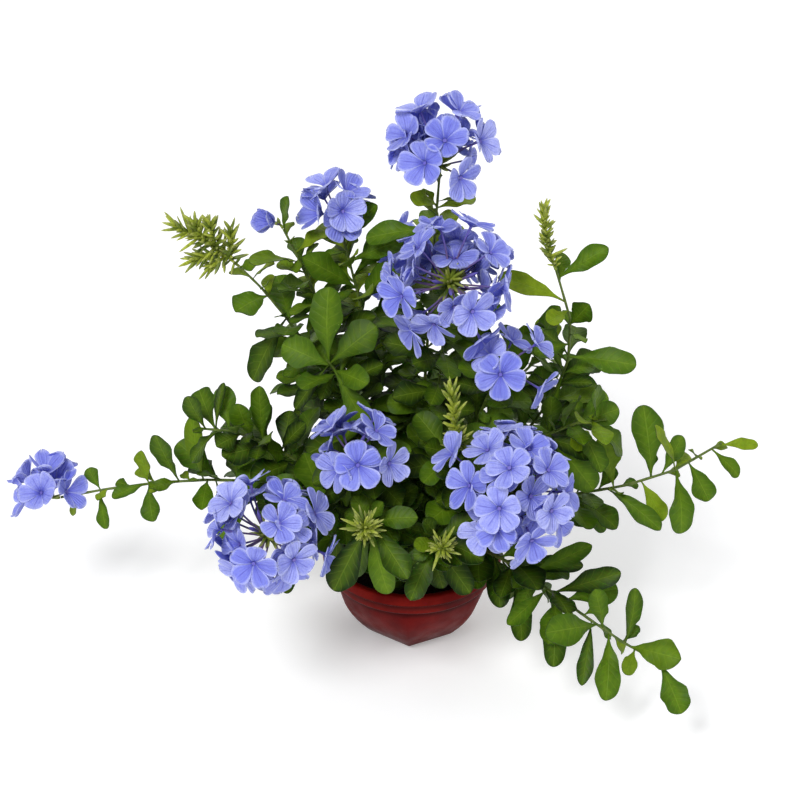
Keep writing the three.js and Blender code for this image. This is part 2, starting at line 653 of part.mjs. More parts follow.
// A flower: five petals in one dished disc, thick in the middle and sharp at its
// rim, which runs down as a funnel into the tube.
function floretSolid(floret) {
  const [first, second] = acrossAxis(floret.out);
  const at = (radius, angle, height) =>
    floret.centre
      .clone()
      .addScaledVector(first, radius * Math.cos(angle))
      .addScaledVector(second, radius * Math.sin(angle))
      .addScaledVector(floret.out, height);
  const petalTurn = (2 * Math.PI) / FLORET.petals;
  const [shoulder, shoulderTurn] = FLORET.shoulder;
  const outline = [];
  for (let petal = 0; petal < FLORET.petals; petal++) {
    const middle = floret.spin + petal * petalTurn;
    outline.push([FLORET.notch, middle - petalTurn / 2]);
    outline.push([shoulder, middle - radians(shoulderTurn)]);
    outline.push([1, middle]);
    outline.push([shoulder, middle + radians(shoulderTurn)]);
  }
  const n = outline.length;
  const points = outline.map(([share, angle]) =>
    at(share * floret.radius, angle, FLORET.dish * share * share),
  );
  const centre = points.push(at(0, 0, 0)) - 1;
  const sides = STEM.sides;
  const corners = Array.from({ length: sides }, (_, k) => (2 * Math.PI * k) / sides);
  const throat = corners.map((angle) => points.push(at(FLORET.throatRadius, angle, -FLORET.funnel)) - 1);
  const foot = corners.map((angle) => points.push(at(FLORET.footRadius, angle, -floret.tube)) - 1);
  const nearest = ([, angle]) => Math.round((((angle / (2 * Math.PI)) % 1) + 1) * sides) % sides;
  const triangles = [];
  for (let i = 0; i < n; i++) {
    const j = (i + 1) % n;
    const [a, b] = [nearest(outline[i]), nearest(outline[j])];
    triangles.push([centre, i, j], [j, i, throat[a]]);
    if (a !== b) triangles.push([j, throat[a], throat[b]]);
  }
  for (let k = 0; k < sides; k++) {
    const m = (k + 1) % sides;
    triangles.push([throat[k], foot[k], foot[m]], [throat[k], foot[m], throat[m]]);
  }
  triangles.push([foot[0], foot[2], foot[1]]);
  return solidOf(geometryOf(points, triangles));
}

// A bud in its calyx: pointed at both ends and widest between them.
function budSolid(bud) {
  const [first, second] = acrossAxis(bud.out);
  const widest = budPoint(bud, BUD.widestAt);
  const points = [budPoint(bud, 0), budPoint(bud, 1)];
  for (let k = 0; k < STEM.sides; k++) {
    const a = (2 * Math.PI * k) / STEM.sides;
    points.push(
      widest
        .clone()
        .addScaledVector(first, BUD.radius * Math.cos(a))
        .addScaledVector(second, BUD.radius * Math.sin(a)),
    );
  }
  const triangles = [];
  for (let k = 0; k < STEM.sides; k++) {
    const [a, b] = [2 + k, 2 + ((k + 1) % STEM.sides)];
    triangles.push([0, b, a], [1, a, b]);
  }
  return solidOf(geometryOf(points, triangles));
}

function rachisSolid(item) {
  const shares = [0, 0.5, 1];
  const centres = shares.map((share) => rachisPoint(item, share));
  const radii = shares.map((share) => RACHIS.radius - RACHIS.taper * share);
  return solidOf(rod(centres, radii, STEM.sides));
}

// Pot and soil.

// A ring of the pot: round where corner is 0, and six-sided where it is 1.
function potRing(radius, height, corner, wall = 0) {
  const side = Math.PI / POT.sides;
  return Array.from({ length: POT.steps }, (_, i) => {
    const angle = (2 * Math.PI * i) / POT.steps;
    const withinSide = (angle % (2 * side)) - side;
    const flat = Math.cos(side) / Math.cos(withinSide);
    const r = radius * (1 - corner + corner * flat) - wall;
    const a = angle + radians(POT.turn - 90);
    return new THREE.Vector3(r * Math.cos(a), r * Math.sin(a), height);
  });
}

// The body flares in a soft bowl curve: its outer radius and how six-sided it is.
const bodyTop = POT.height - POT.lipHeight - POT.bandHeight;
const bandRadius = POT.rimRadius - POT.step;
const bodyCorner = (z) => 1 - (z / bodyTop) ** POT.roundFrom;

function bodyRadius(z) {
  const share = Math.sin((Math.PI / 2) * (z / bodyTop)) ** POT.flare;
  return POT.baseRadius + (bandRadius - POT.step - POT.baseRadius) * share;
}

const bodyRing = (z, inset) => potRing(bodyRadius(z), z, bodyCorner(z), inset);
const BODY_SHARES = [0, 0.3, 0.68, 1];

function potSolid() {
  const shoulder = bodyTop + POT.bandHeight;
  const outside = BODY_SHARES.map((share) => bodyRing(share * bodyTop, 0));
  const rim = [
    potRing(bandRadius, bodyTop + POT.bevel, 0),
    potRing(bandRadius, shoulder, 0),
    potRing(POT.rimRadius, shoulder + POT.bevel, 0),
    potRing(POT.rimRadius, POT.height - POT.bevel, 0),
    potRing(POT.rimRadius - POT.bevel, POT.height, 0),
    potRing(POT.rimRadius - POT.lipWidth, POT.height, 0),
  ];
  const inside = [
    bodyRing(bodyTop, POT.wall),
    bodyRing(bodyTop / 2, POT.wall),
    bodyRing(POT.floor, POT.wall),
  ];
  const drains = Array.from({ length: DRAIN.count }, (_, i) => {
    const a = (2 * Math.PI * (i + 0.5)) / DRAIN.count;
    const hole = new THREE.CylinderGeometry(DRAIN.radius, DRAIN.radius, 4 * POT.floor, DRAIN.steps);
    hole.rotateX(Math.PI / 2);
    hole.translate(DRAIN.circle * Math.cos(a), DRAIN.circle * Math.sin(a), 0);
    hole.deleteAttribute("normal");
    hole.deleteAttribute("uv");
    return solidOf(hole);
  });
  return drains.reduce((pot, drain) => pot.subtract(drain), solidOf(loft([...outside, ...rim, ...inside])));
}

// The soil fills the pot to its level, with a low crumbly swell, and each stem
// stands in a plain hole.
function soilSolid() {
  const random = randomStream(SEED.soil);
  const inset = POT.wall + SOIL.gap;
  const bumpy = (ring) => ring.map((p) => p.setZ(p.z + SOIL.bump * (random() - 0.5)));
  const shape = loft([
    potRing(bodyRadius(POT.floor), POT.floor + SOIL.gap, bodyCorner(POT.floor), inset + SOIL.slack),
    bodyRing(bodyTop / 2, inset + SOIL.slack),
    bodyRing(bodyTop, inset + SOIL.slack),
    potRing(bodyRadius(bodyTop), SOIL.level - SOIL.edge, 0, inset),
    bumpy(potRing(bodyRadius(bodyTop) * SOIL.swellAt, SOIL.level + SOIL.swell, 0)),
  ]);
  const holes = STEMS.map((stem) => {
    const [x, y] = stem.root;
    const from = new THREE.Vector3(x, y, STEM.bottom - SOIL.gap);
    const to = new THREE.Vector3(x, y, STEM.straightTo);
    const radius = STEM.rootRadius + SOIL.holeClearance;
    return solidOf(rod([from, to], [radius, radius], STEM.sides));
  });
  return holes.reduce((soil, hole) => soil.subtract(hole), solidOf(shape));
}

// The scene graph.

const MATERIALS = {
  pot: new THREE.MeshStandardMaterial({ color: 0x6e2622, roughness: 0.42, metalness: 0 }),
  soil: new THREE.MeshStandardMaterial({ color: 0x1f1712, roughness: 0.95, metalness: 0 }),
  leaf: new THREE.MeshStandardMaterial({ color: 0x3f7412, roughness: 0.5, metalness: 0 }),
  petal: new THREE.MeshStandardMaterial({ color: 0x8f9cf0, roughness: 0.6, metalness: 0 }),
  bud: new THREE.MeshStandardMaterial({ color: 0x86a838, roughness: 0.6, metalness: 0 }),
};

function meshOf(name, solid, material) {
  const { vertProperties, numProp, triVerts, numVert } = solid.getMesh();
  const positions = new Float32Array(numVert * 3);
  for (let i = 0; i < numVert; i++)
    positions.set(vertProperties.subarray(i * numProp, i * numProp + 3), i * 3);
  const geometry = new THREE.BufferGeometry()
    .setAttribute("position", new THREE.BufferAttribute(positions, 3))
    .setIndex(new THREE.BufferAttribute(triVerts, 1));
  geometry.computeVertexNormals();
  const mesh = new THREE.Mesh(geometry, material);
  mesh.name = name;
  return mesh;
}

const plant = new THREE.Group();
plant.name = "potted_cape_plumbago";
plant.add(meshOf("pot", potSolid(), MATERIALS.pot));
plant.add(meshOf("soil", soilSolid(), MATERIALS.soil));
for (const stem of STEMS) {
  const solid = joined([stemSolid(stem), ...stem.items.map(leafSolid)]);
  plant.add(meshOf(`stem_${stem.name}`, solid, MATERIALS.leaf));
}
for (const head of HEADS) {
  const solid = joined([rachisSolid(head), ...head.items.map(floretSolid)]);
  plant.add(meshOf(`flowers_${head.stem.name}`, solid, MATERIALS.petal));
}
for (const spray of SPRAYS) {
  const solid = joined([rachisSolid(spray), ...spray.items.map(budSolid)]);
  plant.add(meshOf(`buds_${spray.stem.name}`, solid, MATERIALS.bud));
}

export default plant;
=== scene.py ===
import itertools
import math

import bpy
import numpy as np
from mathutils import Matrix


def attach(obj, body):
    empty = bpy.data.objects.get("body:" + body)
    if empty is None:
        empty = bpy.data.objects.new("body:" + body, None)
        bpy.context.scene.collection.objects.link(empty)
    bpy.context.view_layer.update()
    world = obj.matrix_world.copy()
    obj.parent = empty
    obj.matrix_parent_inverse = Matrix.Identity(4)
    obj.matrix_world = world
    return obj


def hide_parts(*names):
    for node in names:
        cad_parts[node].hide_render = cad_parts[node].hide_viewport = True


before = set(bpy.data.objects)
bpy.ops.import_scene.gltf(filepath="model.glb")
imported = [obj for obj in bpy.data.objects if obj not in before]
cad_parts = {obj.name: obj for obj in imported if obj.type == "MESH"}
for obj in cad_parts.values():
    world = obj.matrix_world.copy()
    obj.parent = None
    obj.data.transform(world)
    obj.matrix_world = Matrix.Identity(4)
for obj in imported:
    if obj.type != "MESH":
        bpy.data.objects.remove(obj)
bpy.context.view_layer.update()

MM = 0.001  # the plant is laid out in millimetres and built in metres


# The plant's driving values, as the solids have them.

POT = dict(height=55, rim_radius=51.5, base_radius=25, wall=2.2, floor=2.6, lip=7, band=7.5, step=3, turn=-4)
DRAIN = dict(count=4, radius=3.2, circle=13)
SOIL = dict(level=43, gap=0.35)
STEM = dict(bottom=22, straight_to=50, root_radius=1.7, tip_radius=0.85, step=26)
JOINT_GAP = 0.45  # between a stem's end and its head or spray
LEAF = dict(petiole=0.5, longest=40, fold=0.22, tilt=0.6, outward=0.35, forward=0.25, shown=0.9)
FLORET_RADIUS = 13.5
GOLDEN_ANGLE = 137.5  # degrees from each leaf, floret or bud to the next

# Sample points, about POINT_STEP apart, stand for what grows. New growth keeps CLEARANCE from all
# but its own stem's, and the first TUFT_SHARE of a leaf's length is left out.
CLEARANCE = 4.6
POINT_STEP = 3.6
TUFT_SHARE = 0.25

# A leaf or floret that doesn't fit is tried again. A placed leaf's tip sinks by TRY_SINK each time,
# and another leaf turns by TRY_TURN degrees.
LEAF_TRIES = 14
TRY_SINK = 4
TRY_TURN = 61
FLORET_TRIES = 8

# Where the streams of random numbers start. Each stem, head or spray has a stream of its own.
SEEDS = dict(head=1009, spray=5003, stem=9001, fill=20011, inner_florets=70001,
             leaf_looks=30011, flower_looks=40009, bud_looks=50021, grit=60013)
SEED_STEP = 71


def table(columns, rows):
    """The rows of a table, with each value under its column's name."""
    return {name: dict(zip(columns.split(), row)) for name, row in rows.items()}


# A leafy stem: its root in the soil, its tip, how far it bows up, how many leaves grow by the
# spiral rule, the two shares of its length that they grow between, and how long they are.
STEMS = table("root tip arch leaves span long", {
    "top": ((3, 7), (14, 30, 274), 6, 8, (0.3, 0.93), 34),
    "upper_left": ((-7, 8), (-40, 40, 239), 10, 7, (0.28, 0.94), 38),
    "ring": ((7, -4), (18, -10, 221), 6, 9, (0.34, 0.88), 36),
    "lower_left": ((-15, -9), (-71, -78, 122), 24, 8, (0.3, 0.9), 35),
    "centre": ((-5, -15), (-30, -57, 150), 14, 7, (0.34, 0.86), 34),
    "right": ((13, -13), (43, -72, 145), 22, 8, (0.32, 0.88), 35),
    "far_left": ((-20, 1), (-197, -10, 94), 6, 7, (0.26, 0.62), 31),
    "bud_upper_left": ((-13, 12), (-94, 26, 221), 14, 6, (0.26, 0.66), 36),
    "spike": ((22, 9), (76, 2, 232), -46, 8, (0.28, 0.8), 38),
    "bud_centre": ((-9, -19), (-24, -82, 126), 14, 5, (0.4, 0.9), 32),
    "bud_front": ((4, -21), (14, -80, 112), 12, 6, (0.4, 0.9), 30),
    "bud_middle": ((8, -12), (22, -50, 152), 10, 7, (0.36, 0.9), 34),
    "right_trail": ((21, -3), (168, -22, 138), -46, 7, (0.24, 0.56), 36),
    "lower_right_trail": ((17, -12), (132, -110, 56), -22, 6, (0.28, 0.56), 34),
    "single": ((-12, 3), (-70, 32, 241), 10, 5, (0.4, 0.84), 32),
    "ring_side": ((13, -6), (46, -27, 186), 8, 5, (0.4, 0.88), 32),
    "left_upper": ((-6, 0), (-46, -14, 186), 12, 5, (0.36, 0.97), 38),
    "left_middle": ((-19, -5), (-116, -18, 145), 20, 6, (0.3, 0.97), 33),
    "right_middle": ((18, 3), (104, -26, 156), 16, 7, (0.3, 0.97), 38),
    "back_left": ((-12, 17), (-66, 82, 122), 24, 8, (0.28, 0.97), 40),
    "back_right": ((12, 17), (84, 82, 134), 22, 8, (0.28, 0.97), 40),
    "back": ((0, 20), (6, 104, 164), 22, 7, (0.28, 0.9), 40),
})
STEMS["spike"]["sway"] = (54, 0)  # this stem also bows aside

# The leaves that stand out: a share of the stem's length, the leaf's tip, its half width.
PLACED = {
    "top": [(0.83, (-25, 22, 261), 6.5), (0.9, (4, 14, 272), 5)],
    "upper_left": [(0.85, (-10, 30, 238), 7), (0.7, (-18, 20, 225), 7.5), (0.76, (-60, 6, 242), 7),
        (0.6, (-55, -12, 191), 8), (0.66, (-24, 4, 174), 7.5), (0.56, (-37, -4, 160), 7.5)],
    "lower_left": [(0.9, (-68, -100, 94), 5), (0.5, (-45, -58, 69), 5)],
    "far_left": [(0.69, (-142, -16, 135), 5.5), (0.63, (-125, -12, 141), 5.5),
        (0.765, (-152, -12, 122), 4.2), (0.77, (-166, -18, 111), 4), (0.765, (-147, -22, 91), 5.5),
        (0.62, (-117, -26, 101), 5.5), (0.6, (-102, -30, 99), 4.5), (0.89, (-173, -20, 79), 3.5),
        (0.69, (-144, -22, 119), 4), (0.56, (-82, -24, 109), 7)],
    "bud_upper_left": [(0.74, (-99, 6, 154), 7.5), (0.84, (-94, 8, 209), 8), (0.92, (-104, 2, 207), 4.5),
        (1.0, (-87, 20, 227), 3.4), (0.58, (-68, 4, 172), 4)],
    "spike": [(0.98, (99, -4, 249), 5.5), (0.86, (92, -8, 215), 6), (0.76, (117, -12, 185), 7),
        (0.92, (51, 0, 237), 6), (0.66, (94, -8, 175), 3.6), (0.7, (72, -8, 157), 4),
        (0.8, (67, -12, 191), 5.5)],
    "bud_centre": [(0.9, (-5, -108, 152), 6.5), (0.8, (-38, -72, 72), 5.5), (0.95, (-10, -108, 121), 6)],
    "bud_front": [(0.86, (-1, -98, 93), 6), (0.6, (31, -74, 76), 6.5), (0.5, (16, -64, 71), 5.5)],
    "right_trail": [(0.79, (128, -18, 154), 8), (0.82, (148, -14, 135), 4.5), (0.86, (136, -36, 159), 3),
        (0.99, (186, -26, 142), 3.2), (0.97, (179, -30, 123), 4), (0.9, (163, -34, 109), 6.5),
        (0.86, (152, -40, 92), 7), (0.76, (139, -32, 107), 5.2), (0.66, (134, -46, 105), 5.5),
        (0.68, (106, -16, 136), 6.5)],
    "lower_right_trail": [(0.6, (105, -78, 90), 6), (0.58, (53, -92, 70), 4.5), (0.6, (79, -104, 43), 6.5),
        (0.76, (74, -112, 79), 8), (0.74, (91, -112, 56), 4), (0.78, (99, -92, 86), 5),
        (0.8, (105, -120, 44), 6.5), (0.88, (136, -116, 66), 7.5), (0.99, (142, -130, 44), 7),
        (0.86, (120, -98, 89), 4.5), (0.5, (100, -62, 100), 5), (0.42, (90, -54, 92), 4.5),
        (0.36, (48, -66, 65), 6), (0.46, (62, -80, 67), 6)],
    "single": [(0.99, (-70, 26, 262), 4), (0.86, (-82, 2, 250), 6)],
    "left_middle": [(0.97, (-122, -22, 165), 5), (0.92, (-106, -12, 168), 2.6), (0.7, (-84, -18, 167), 5),
        (0.62, (-64, -20, 168), 5), (0.8, (-106, -26, 140), 6)],
    "right_middle": [(0.86, (109, -24, 161), 6), (0.7, (102, -30, 123), 8), (0.8, (94, -28, 140), 6)],
    "left_upper": [(0.98, (-50, -8, 239), 9), (0.95, (-69, -12, 218), 8), (0.97, (-23, -14, 223), 8.5),
        (0.93, (-15, -46, 178), 6.5), (0.97, (-67, -18, 185), 4), (1.0, (-59, -30, 169), 7)],
}

# A flower head: its axis, its number of florets, the least and most angle between a floret and
# the axis, the length of a floret's tube with its calyx, and the length of the rachis.
HEADS = table("axis florets spread tube rachis", {
    "top": ((0.02, -0.1, 1), 12, (16, 82), 26, 14),
    "upper_left": ((0.1, -0.2, 1), 5, (14, 70), 17, 12),
    "ring": ((0.05, -0.6, 0.8), 13, (42, 100), 31, 16),
    "single": ((-0.8, -0.35, 0.5), 1, (4, 14), 12, 5),
    "ring_side": ((0.4, -0.45, 0.75), 3, (26, 66), 25, 6),
    "lower_left": ((-0.2, -0.6, 0.75), 14, (26, 100), 28, 16),
    "centre": ((-0.05, -0.3, 0.95), 7, (28, 76), 24, 5),
    "right": ((0.36, -0.6, 0.7), 17, (12, 94), 32, 22),
    "far_left": ((-0.35, 0, 0.94), 6, (20, 74), 19, 13),
    "back": ((0, 0.75, 0.65), 7, (16, 92), 27, 14),
})

# A spray of buds: the same, with the number of its buds and a bud's length.
SPRAYS = table("axis buds spread bud rachis", {
    "bud_upper_left": ((-0.85, -0.1, 0.5), 26, (10, 88), 13, 42),
    "spike": ((-0.02, 0, 1), 15, (14, 62), 9, 38),
    "bud_centre": ((0, -0.55, 0.8), 16, (8, 100), 13, 14),
    "bud_front": ((0.1, -0.6, 0.75), 9, (8, 96), 13, 10),
    "bud_middle": ((0, -0.5, 0.85), 9, (8, 80), 13, 16),
})


# Small tools.

def vec(*xyz):
    return np.array(xyz, dtype=float)


def unit(v):
    return v / math.sqrt(v[0] * v[0] + v[1] * v[1] + v[2] * v[2])


def cross(a, b):
    return vec(a[1] * b[2] - a[2] * b[1], a[2] * b[0] - a[0] * b[2], a[0] * b[1] - a[1] * b[0])


def random_stream(seed):
    """A repeatable stream of numbers from 0 to 1."""
    state = seed

    def draw():
        nonlocal state
        state = state * 16807 % 2147483647
        return state / 2147483647

    return draw


def stream_of(kind, index=0):
    return random_stream(SEEDS[kind] + SEED_STEP * index)


def across_axis(axis):
    """Two unit vectors that stand square to an axis."""
    reference = vec(0, 1, 0) if abs(axis[2]) > 0.9 else vec(0, 0, 1)
    first = unit(cross(reference, axis))
    return first, cross(axis, first)


def leaning(axis, angle, turn):
    """The direction at an angle from an axis, turned round it by another angle."""
    first, second = across_axis(axis)
    out = first * math.cos(turn) + second * math.sin(turn)
    return unit(axis * math.cos(angle) + out * math.sin(angle))


def bezier3(p, t):
    k = 1 - t
    return p[0] * k ** 3 + p[1] * 3 * k * k * t + p[2] * 3 * k * t * t + p[3] * t ** 3


def tangent3(p, t):
    step = 0.0001
    return unit(bezier3(p, min(1, t + step)) - bezier3(p, max(0, t - step)))


# Where things are, so that none grows through another.

crowd = {}


def cell_of(value):
    return math.floor(value / CLEARANCE)


def occupy(points, owner):
    for x, y, z in points.tolist():
        crowd.setdefault((cell_of(x), cell_of(y), cell_of(z)), []).append((x, y, z, owner))


def is_free(points, own_stem, clearance=CLEARANCE):
    for x, y, z in points.tolist():
        cells = [(cell_of(v) - 1, cell_of(v), cell_of(v) + 1) for v in (x, y, z)]
        for cell in itertools.product(*cells):
            for px, py, pz, owner in crowd.get(cell, ()):
                near = (px - x) ** 2 + (py - y) ** 2 + (pz - z) ** 2 < clearance * clearance
                if near and owner != own_stem:
                    return False
    return True


# Stems.

def grow_stem(name, stem):
    x, y = stem["root"]
    start = vec(x, y, STEM["straight_to"])
    tip = vec(*stem["tip"])
    rise = 0.34 * np.linalg.norm(tip - start)
    first = vec(x * 1.5, y * 1.5, STEM["straight_to"] + rise)
    second = first + (tip - first) * 0.62 + vec(*stem.get("sway", (0, 0)), stem["arch"])
    curve = (start, first, second, tip)
    steps = [bezier3(curve, i / 200) for i in range(201)]
    length = sum(float(np.linalg.norm(b - a)) for a, b in zip(steps, steps[1:]))
    stem.update(name=name, curve=curve, length=length, pieces=math.ceil(length / STEM["step"]), items=[],
                end=tip, heading=tangent3(curve, 1))
    count = math.ceil(length / POINT_STEP)
    occupy(np.array([stem_point(stem, i / count) for i in range(count + 1)]), name)


def stem_point(stem, share):
    """A point of the chain of straight pieces that the solid stem follows."""
    along = share * stem["pieces"]
    index = min(stem["pieces"] - 1, math.floor(along))
    start = bezier3(stem["curve"], index / stem["pieces"])
    end = bezier3(stem["curve"], (index + 1) / stem["pieces"])
    return start + (end - start) * (along - index)


# Leaves.

def leaf_outline(u):
    """Half the width of a leaf, over its widest, at a share u of its length."""
    return 0.07 + 0.93 * np.maximum(0, np.sin(math.pi * np.power(u, 2.1))) ** 0.72


def blade_wave(leaf, u, v, half):
    """How far the wave along a blade's edges lifts it."""
    return leaf["wave"] * np.sin(leaf["phase"] + u * 9) * v * v * np.minimum(1, half / 4)


def blade_points(leaf, u, aside, lift):
    """Points at shares of a blade's length, so far aside from its midrib and lifted so far."""
    return (leaf["start"] + leaf["along"] * (leaf["long"] * u)[..., None]
            + leaf["side"] * aside[..., None] + leaf["face"] * lift[..., None])


def leaf_points(leaf, u, v):
    """Points of the blade's middle surface: u runs along it, v from edge to edge."""
    half = np.where(u >= 1, 0, np.maximum(LEAF["petiole"], leaf["half"] * leaf_outline(np.minimum(u, 1))))
    lift = LEAF["fold"] * half * np.abs(v) - leaf["droop"] * leaf["long"] * u * u
    return blade_points(leaf, u, half * v, lift + blade_wave(leaf, u, v, half))


SAMPLE_ACROSS = np.array([-1, -0.5, 0, 0.5, 1])


def leaf_samples(leaf):
    rows = math.ceil(leaf["long"] * (1 - TUFT_SHARE) / POINT_STEP)
    u = TUFT_SHARE + (1 - TUFT_SHARE) * np.arange(rows + 1) / rows
    uu, vv = np.meshgrid(u, SAMPLE_ACROSS, indexing="ij")
    return leaf_points(leaf, uu, vv).reshape(-1, 3)


def make_leaf(start, along, long, half, draw, forward=LEAF["forward"]):
    tilt = vec(draw() - 0.5, draw() - 0.5, 0) * LEAF["tilt"]
    tilt = tilt + unit(vec(start[0], start[1], 0)) * LEAF["outward"] - vec(0, forward, 0)
    droop = 0.1 + 0.22 * draw()
    wave = 0.5 + 0.9 * draw()
    phase = 2 * math.pi * draw()
    side = unit(cross(along, vec(0, 0, 1) + tilt))
    face = unit(cross(side, along))
    return dict(start=start, along=along, side=side, face=face, long=long, half=half,
                droop=droop, wave=wave, phase=phase)


def placed_leaf(stem, place, draw, clearance=CLEARANCE):
    share, tip, half = place
    start = stem_point(stem, share)
    for k in range(LEAF_TRIES):
        along = vec(*tip) - start - vec(0, 0, TRY_SINK * k)
        long = min(LEAF["longest"], float(np.linalg.norm(along)))
        leaf = make_leaf(start, unit(along), long, half, draw, LEAF["shown"])
        if is_free(leaf_samples(leaf), stem["name"], clearance):
            return leaf
    return None


# How leaves grow by rule: their lean from the stem in degrees, least and more at random, the
# jitter of their turn, how far they rise, what each further try takes off their length, half a
# blade's width over its length, and how far they keep from what grows elsewhere.
SPIRAL = dict(lean=(46, 30), jitter=30, rise=0.08, shorter=0.035, width=0.235, clearance=CLEARANCE)
FILL = dict(lean=(40, 40), jitter=60, rise=0.12, shorter=0.045, width=0.24, clearance=2.1)


def ruled_leaf(stem, share, index, size, rule, draw):
    start = stem_point(stem, share)
    heading = tangent3(stem["curve"], share)
    lean = rule["lean"][0] + rule["lean"][1] * draw()
    jitter = rule["jitter"] * draw()
    for k in range(LEAF_TRIES):
        turn = math.radians(GOLDEN_ANGLE * index + TRY_TURN * k + jitter)
        along = leaning(heading, math.radians(lean + 2 * k), turn)
        along[2] = along[2] * 0.75 + rule["rise"]
        long = size * (1 - rule["shorter"] * k)
        leaf = make_leaf(start, unit(along), long, long * rule["width"], draw)
        if is_free(leaf_samples(leaf), stem["name"], rule["clearance"]):
            return leaf
    return None


# Flower heads and bud sprays.

def rachis_point(head, share):
    """A rachis leaves its stem straight and bends to the head's axis."""
    elbow = head["start"] + head["stem"]["heading"] * (head["rachis"] / 2)
    end = elbow + head["axis"] * (head["rachis"] / 2)
    k = 1 - share
    return head["start"] * k * k + elbow * 2 * k * share + end * share * share


def floret_samples(floret):
    first, second = across_axis(floret["out"])
    points = []
    for ring in (0.35, 0.7, 1):
        for i in range(12):
            a = i * math.pi / 6
            reach = ring * floret["radius"]
            points.append(floret["centre"] + first * (reach * math.cos(a)) + second * (reach * math.sin(a)))
    steps = math.ceil(floret["tube"] / POINT_STEP)
    for i in range(2, steps + 1):
        points.append(floret["start"] + (floret["centre"] - floret["start"]) * (i / steps))
    return np.array(points)


def make_floret(start, out, tube, radius, spin, **more):
    return dict(start=start, out=out, centre=start + out * tube, tube=tube, radius=radius, spin=spin, **more)


def head_florets(head, draw):
    florets = []
    nearest, widest = (math.radians(a) for a in head["spread"])
    for i in range(head["florets"]):
        share = (i + 0.5) / head["florets"]
        level = math.cos(nearest) + (math.cos(widest) - math.cos(nearest)) * share
        start = rachis_point(head, 1 - 0.75 * share)
        size = 0.9 + 0.16 * draw()
        tube = head["tube"] * (0.9 + 0.24 * draw())
        spin = math.radians(72 * draw())
        jitter = 16 * draw()
        for k in range(FLORET_TRIES):
            turn = math.radians(GOLDEN_ANGLE * i + 17 * k + jitter)
            out = leaning(head["axis"], math.acos(level), turn)
            floret = make_floret(start, out, tube * (1 - 0.05 * k), FLORET_RADIUS * size, spin)
            if is_free(floret_samples(floret), head["stem"]["name"]):
                florets.append(floret)
                break
    return florets


def bud_samples(bud):
    return np.array([bud["start"] + bud["out"] * (bud["long"] * u) for u in (0.4, 0.7, 1)])


def spray_buds(spray, draw):
    buds = []
    nearest, widest = (math.radians(a) for a in spray["spread"])
    for i in range(spray["buds"]):
        share = (i + 0.5) / spray["buds"]
        start = rachis_point(spray, 1 - 0.85 * share)
        angle = nearest + (widest - nearest) * math.sqrt(share) * (0.8 + 0.3 * draw())
        out = leaning(spray["axis"], angle, math.radians(GOLDEN_ANGLE * i))
        bud = dict(start=start, out=out, long=spray["bud"] * (0.75 + 0.5 * draw()))
        if is_free(bud_samples(bud), spray["stem"]["name"]):
            buds.append(bud)
    return buds


# The layout, in the same order as the solids have it.

def start_at_stem(name, item):
    stem = STEMS[name]
    start = stem["end"] + stem["heading"] * JOINT_GAP
    item.update(name=name, stem=stem, axis=unit(vec(*item["axis"])), start=start)


def keep_leaf(stem, leaf):
    if leaf:
        stem["items"].append(leaf)
        occupy(leaf_samples(leaf), stem["name"] + " leaf")


def lay_out():
    for name, stem in STEMS.items():
        grow_stem(name, stem)
    kinds = [("head", HEADS, head_florets, floret_samples), ("spray", SPRAYS, spray_buds, bud_samples)]
    for kind, items, grow, samples in kinds:
        for index, (name, item) in enumerate(items.items()):
            start_at_stem(name, item)
            item["items"] = grow(item, stream_of(kind, index))
            for one in item["items"]:
                occupy(samples(one), name + " " + kind)
    for index, (name, stem) in enumerate(STEMS.items()):
        stem["draw"] = stream_of("stem", index)
        for place in PLACED.get(name, ()):
            keep_leaf(stem, placed_leaf(stem, place, stem["draw"]))
    for stem in STEMS.values():
        draw = stem["draw"]
        low, high = stem["span"]
        for i in range(stem["leaves"]):
            share = low + (high - low) * (i + 0.5) / stem["leaves"]
            size = stem["long"] * (0.72 + 0.42 * draw()) * (1.08 - 0.3 * share)
            keep_leaf(stem, ruled_leaf(stem, share, i, size, SPIRAL, draw))


lay_out()


# The finer growth that only the looks have: more leaves and florets, where the solids leave room.

FILL_STEP = 3.4  # millimetres of stem for each further leaf
FILL_LONG = (0.5, 1.0)  # of the stem's own leaf length
FILL_FROM, FILL_END = 0.08, 0.96  # shares of a stem's length
# Where those leaves end on a stem that grows only small ones further out.
FILL_TO = dict(far_left=0.6, right_trail=0.6, lower_right_trail=0.66, bud_upper_left=0.74, single=0.9,
               spike=0.7, top=0.84, upper_left=0.95, left_middle=0.94, right_middle=0.94)

# Further leaves that stand out, given as in PLACED.
MORE_PLACED = {
    "bud_centre": [(0.95, (-55, -112, 131), 7.5), (0.7, (-8, -104, 134), 6)],
    "left_middle": [(0.74, (-96, -22, 158), 6.5), (0.6, (-78, -24, 172), 7), (0.5, (-62, -34, 160), 7),
        (0.66, (-102, -28, 144), 7), (0.54, (-84, -40, 130), 7), (0.46, (-66, -34, 146), 7.5),
        (0.42, (-72, -24, 132), 7), (0.58, (-76, -40, 150), 6.5)],
    "far_left": [(0.5, (-108, -30, 122), 6)],
    "right_middle": [(0.66, (98, -28, 156), 7), (0.5, (84, -38, 142), 7), (0.72, (108, -34, 118), 6)],
}

TUFT_LONG = (0.34, 0.6)  # of the small leaves further out
TUFT_STEP, TUFT_END = 9, 0.98


def fill_stretch(stem, low, high, step, sizes, draw):
    count = round(stem["length"] * (high - low) / step)
    for i in range(count):
        share = low + (high - low) * (i + draw()) / count
        scale = sizes[0] + (sizes[1] - sizes[0]) * draw()
        size = stem["long"] * scale * (1.1 - 0.25 * share)
        keep_leaf(stem, ruled_leaf(stem, share, i, size, FILL, draw))


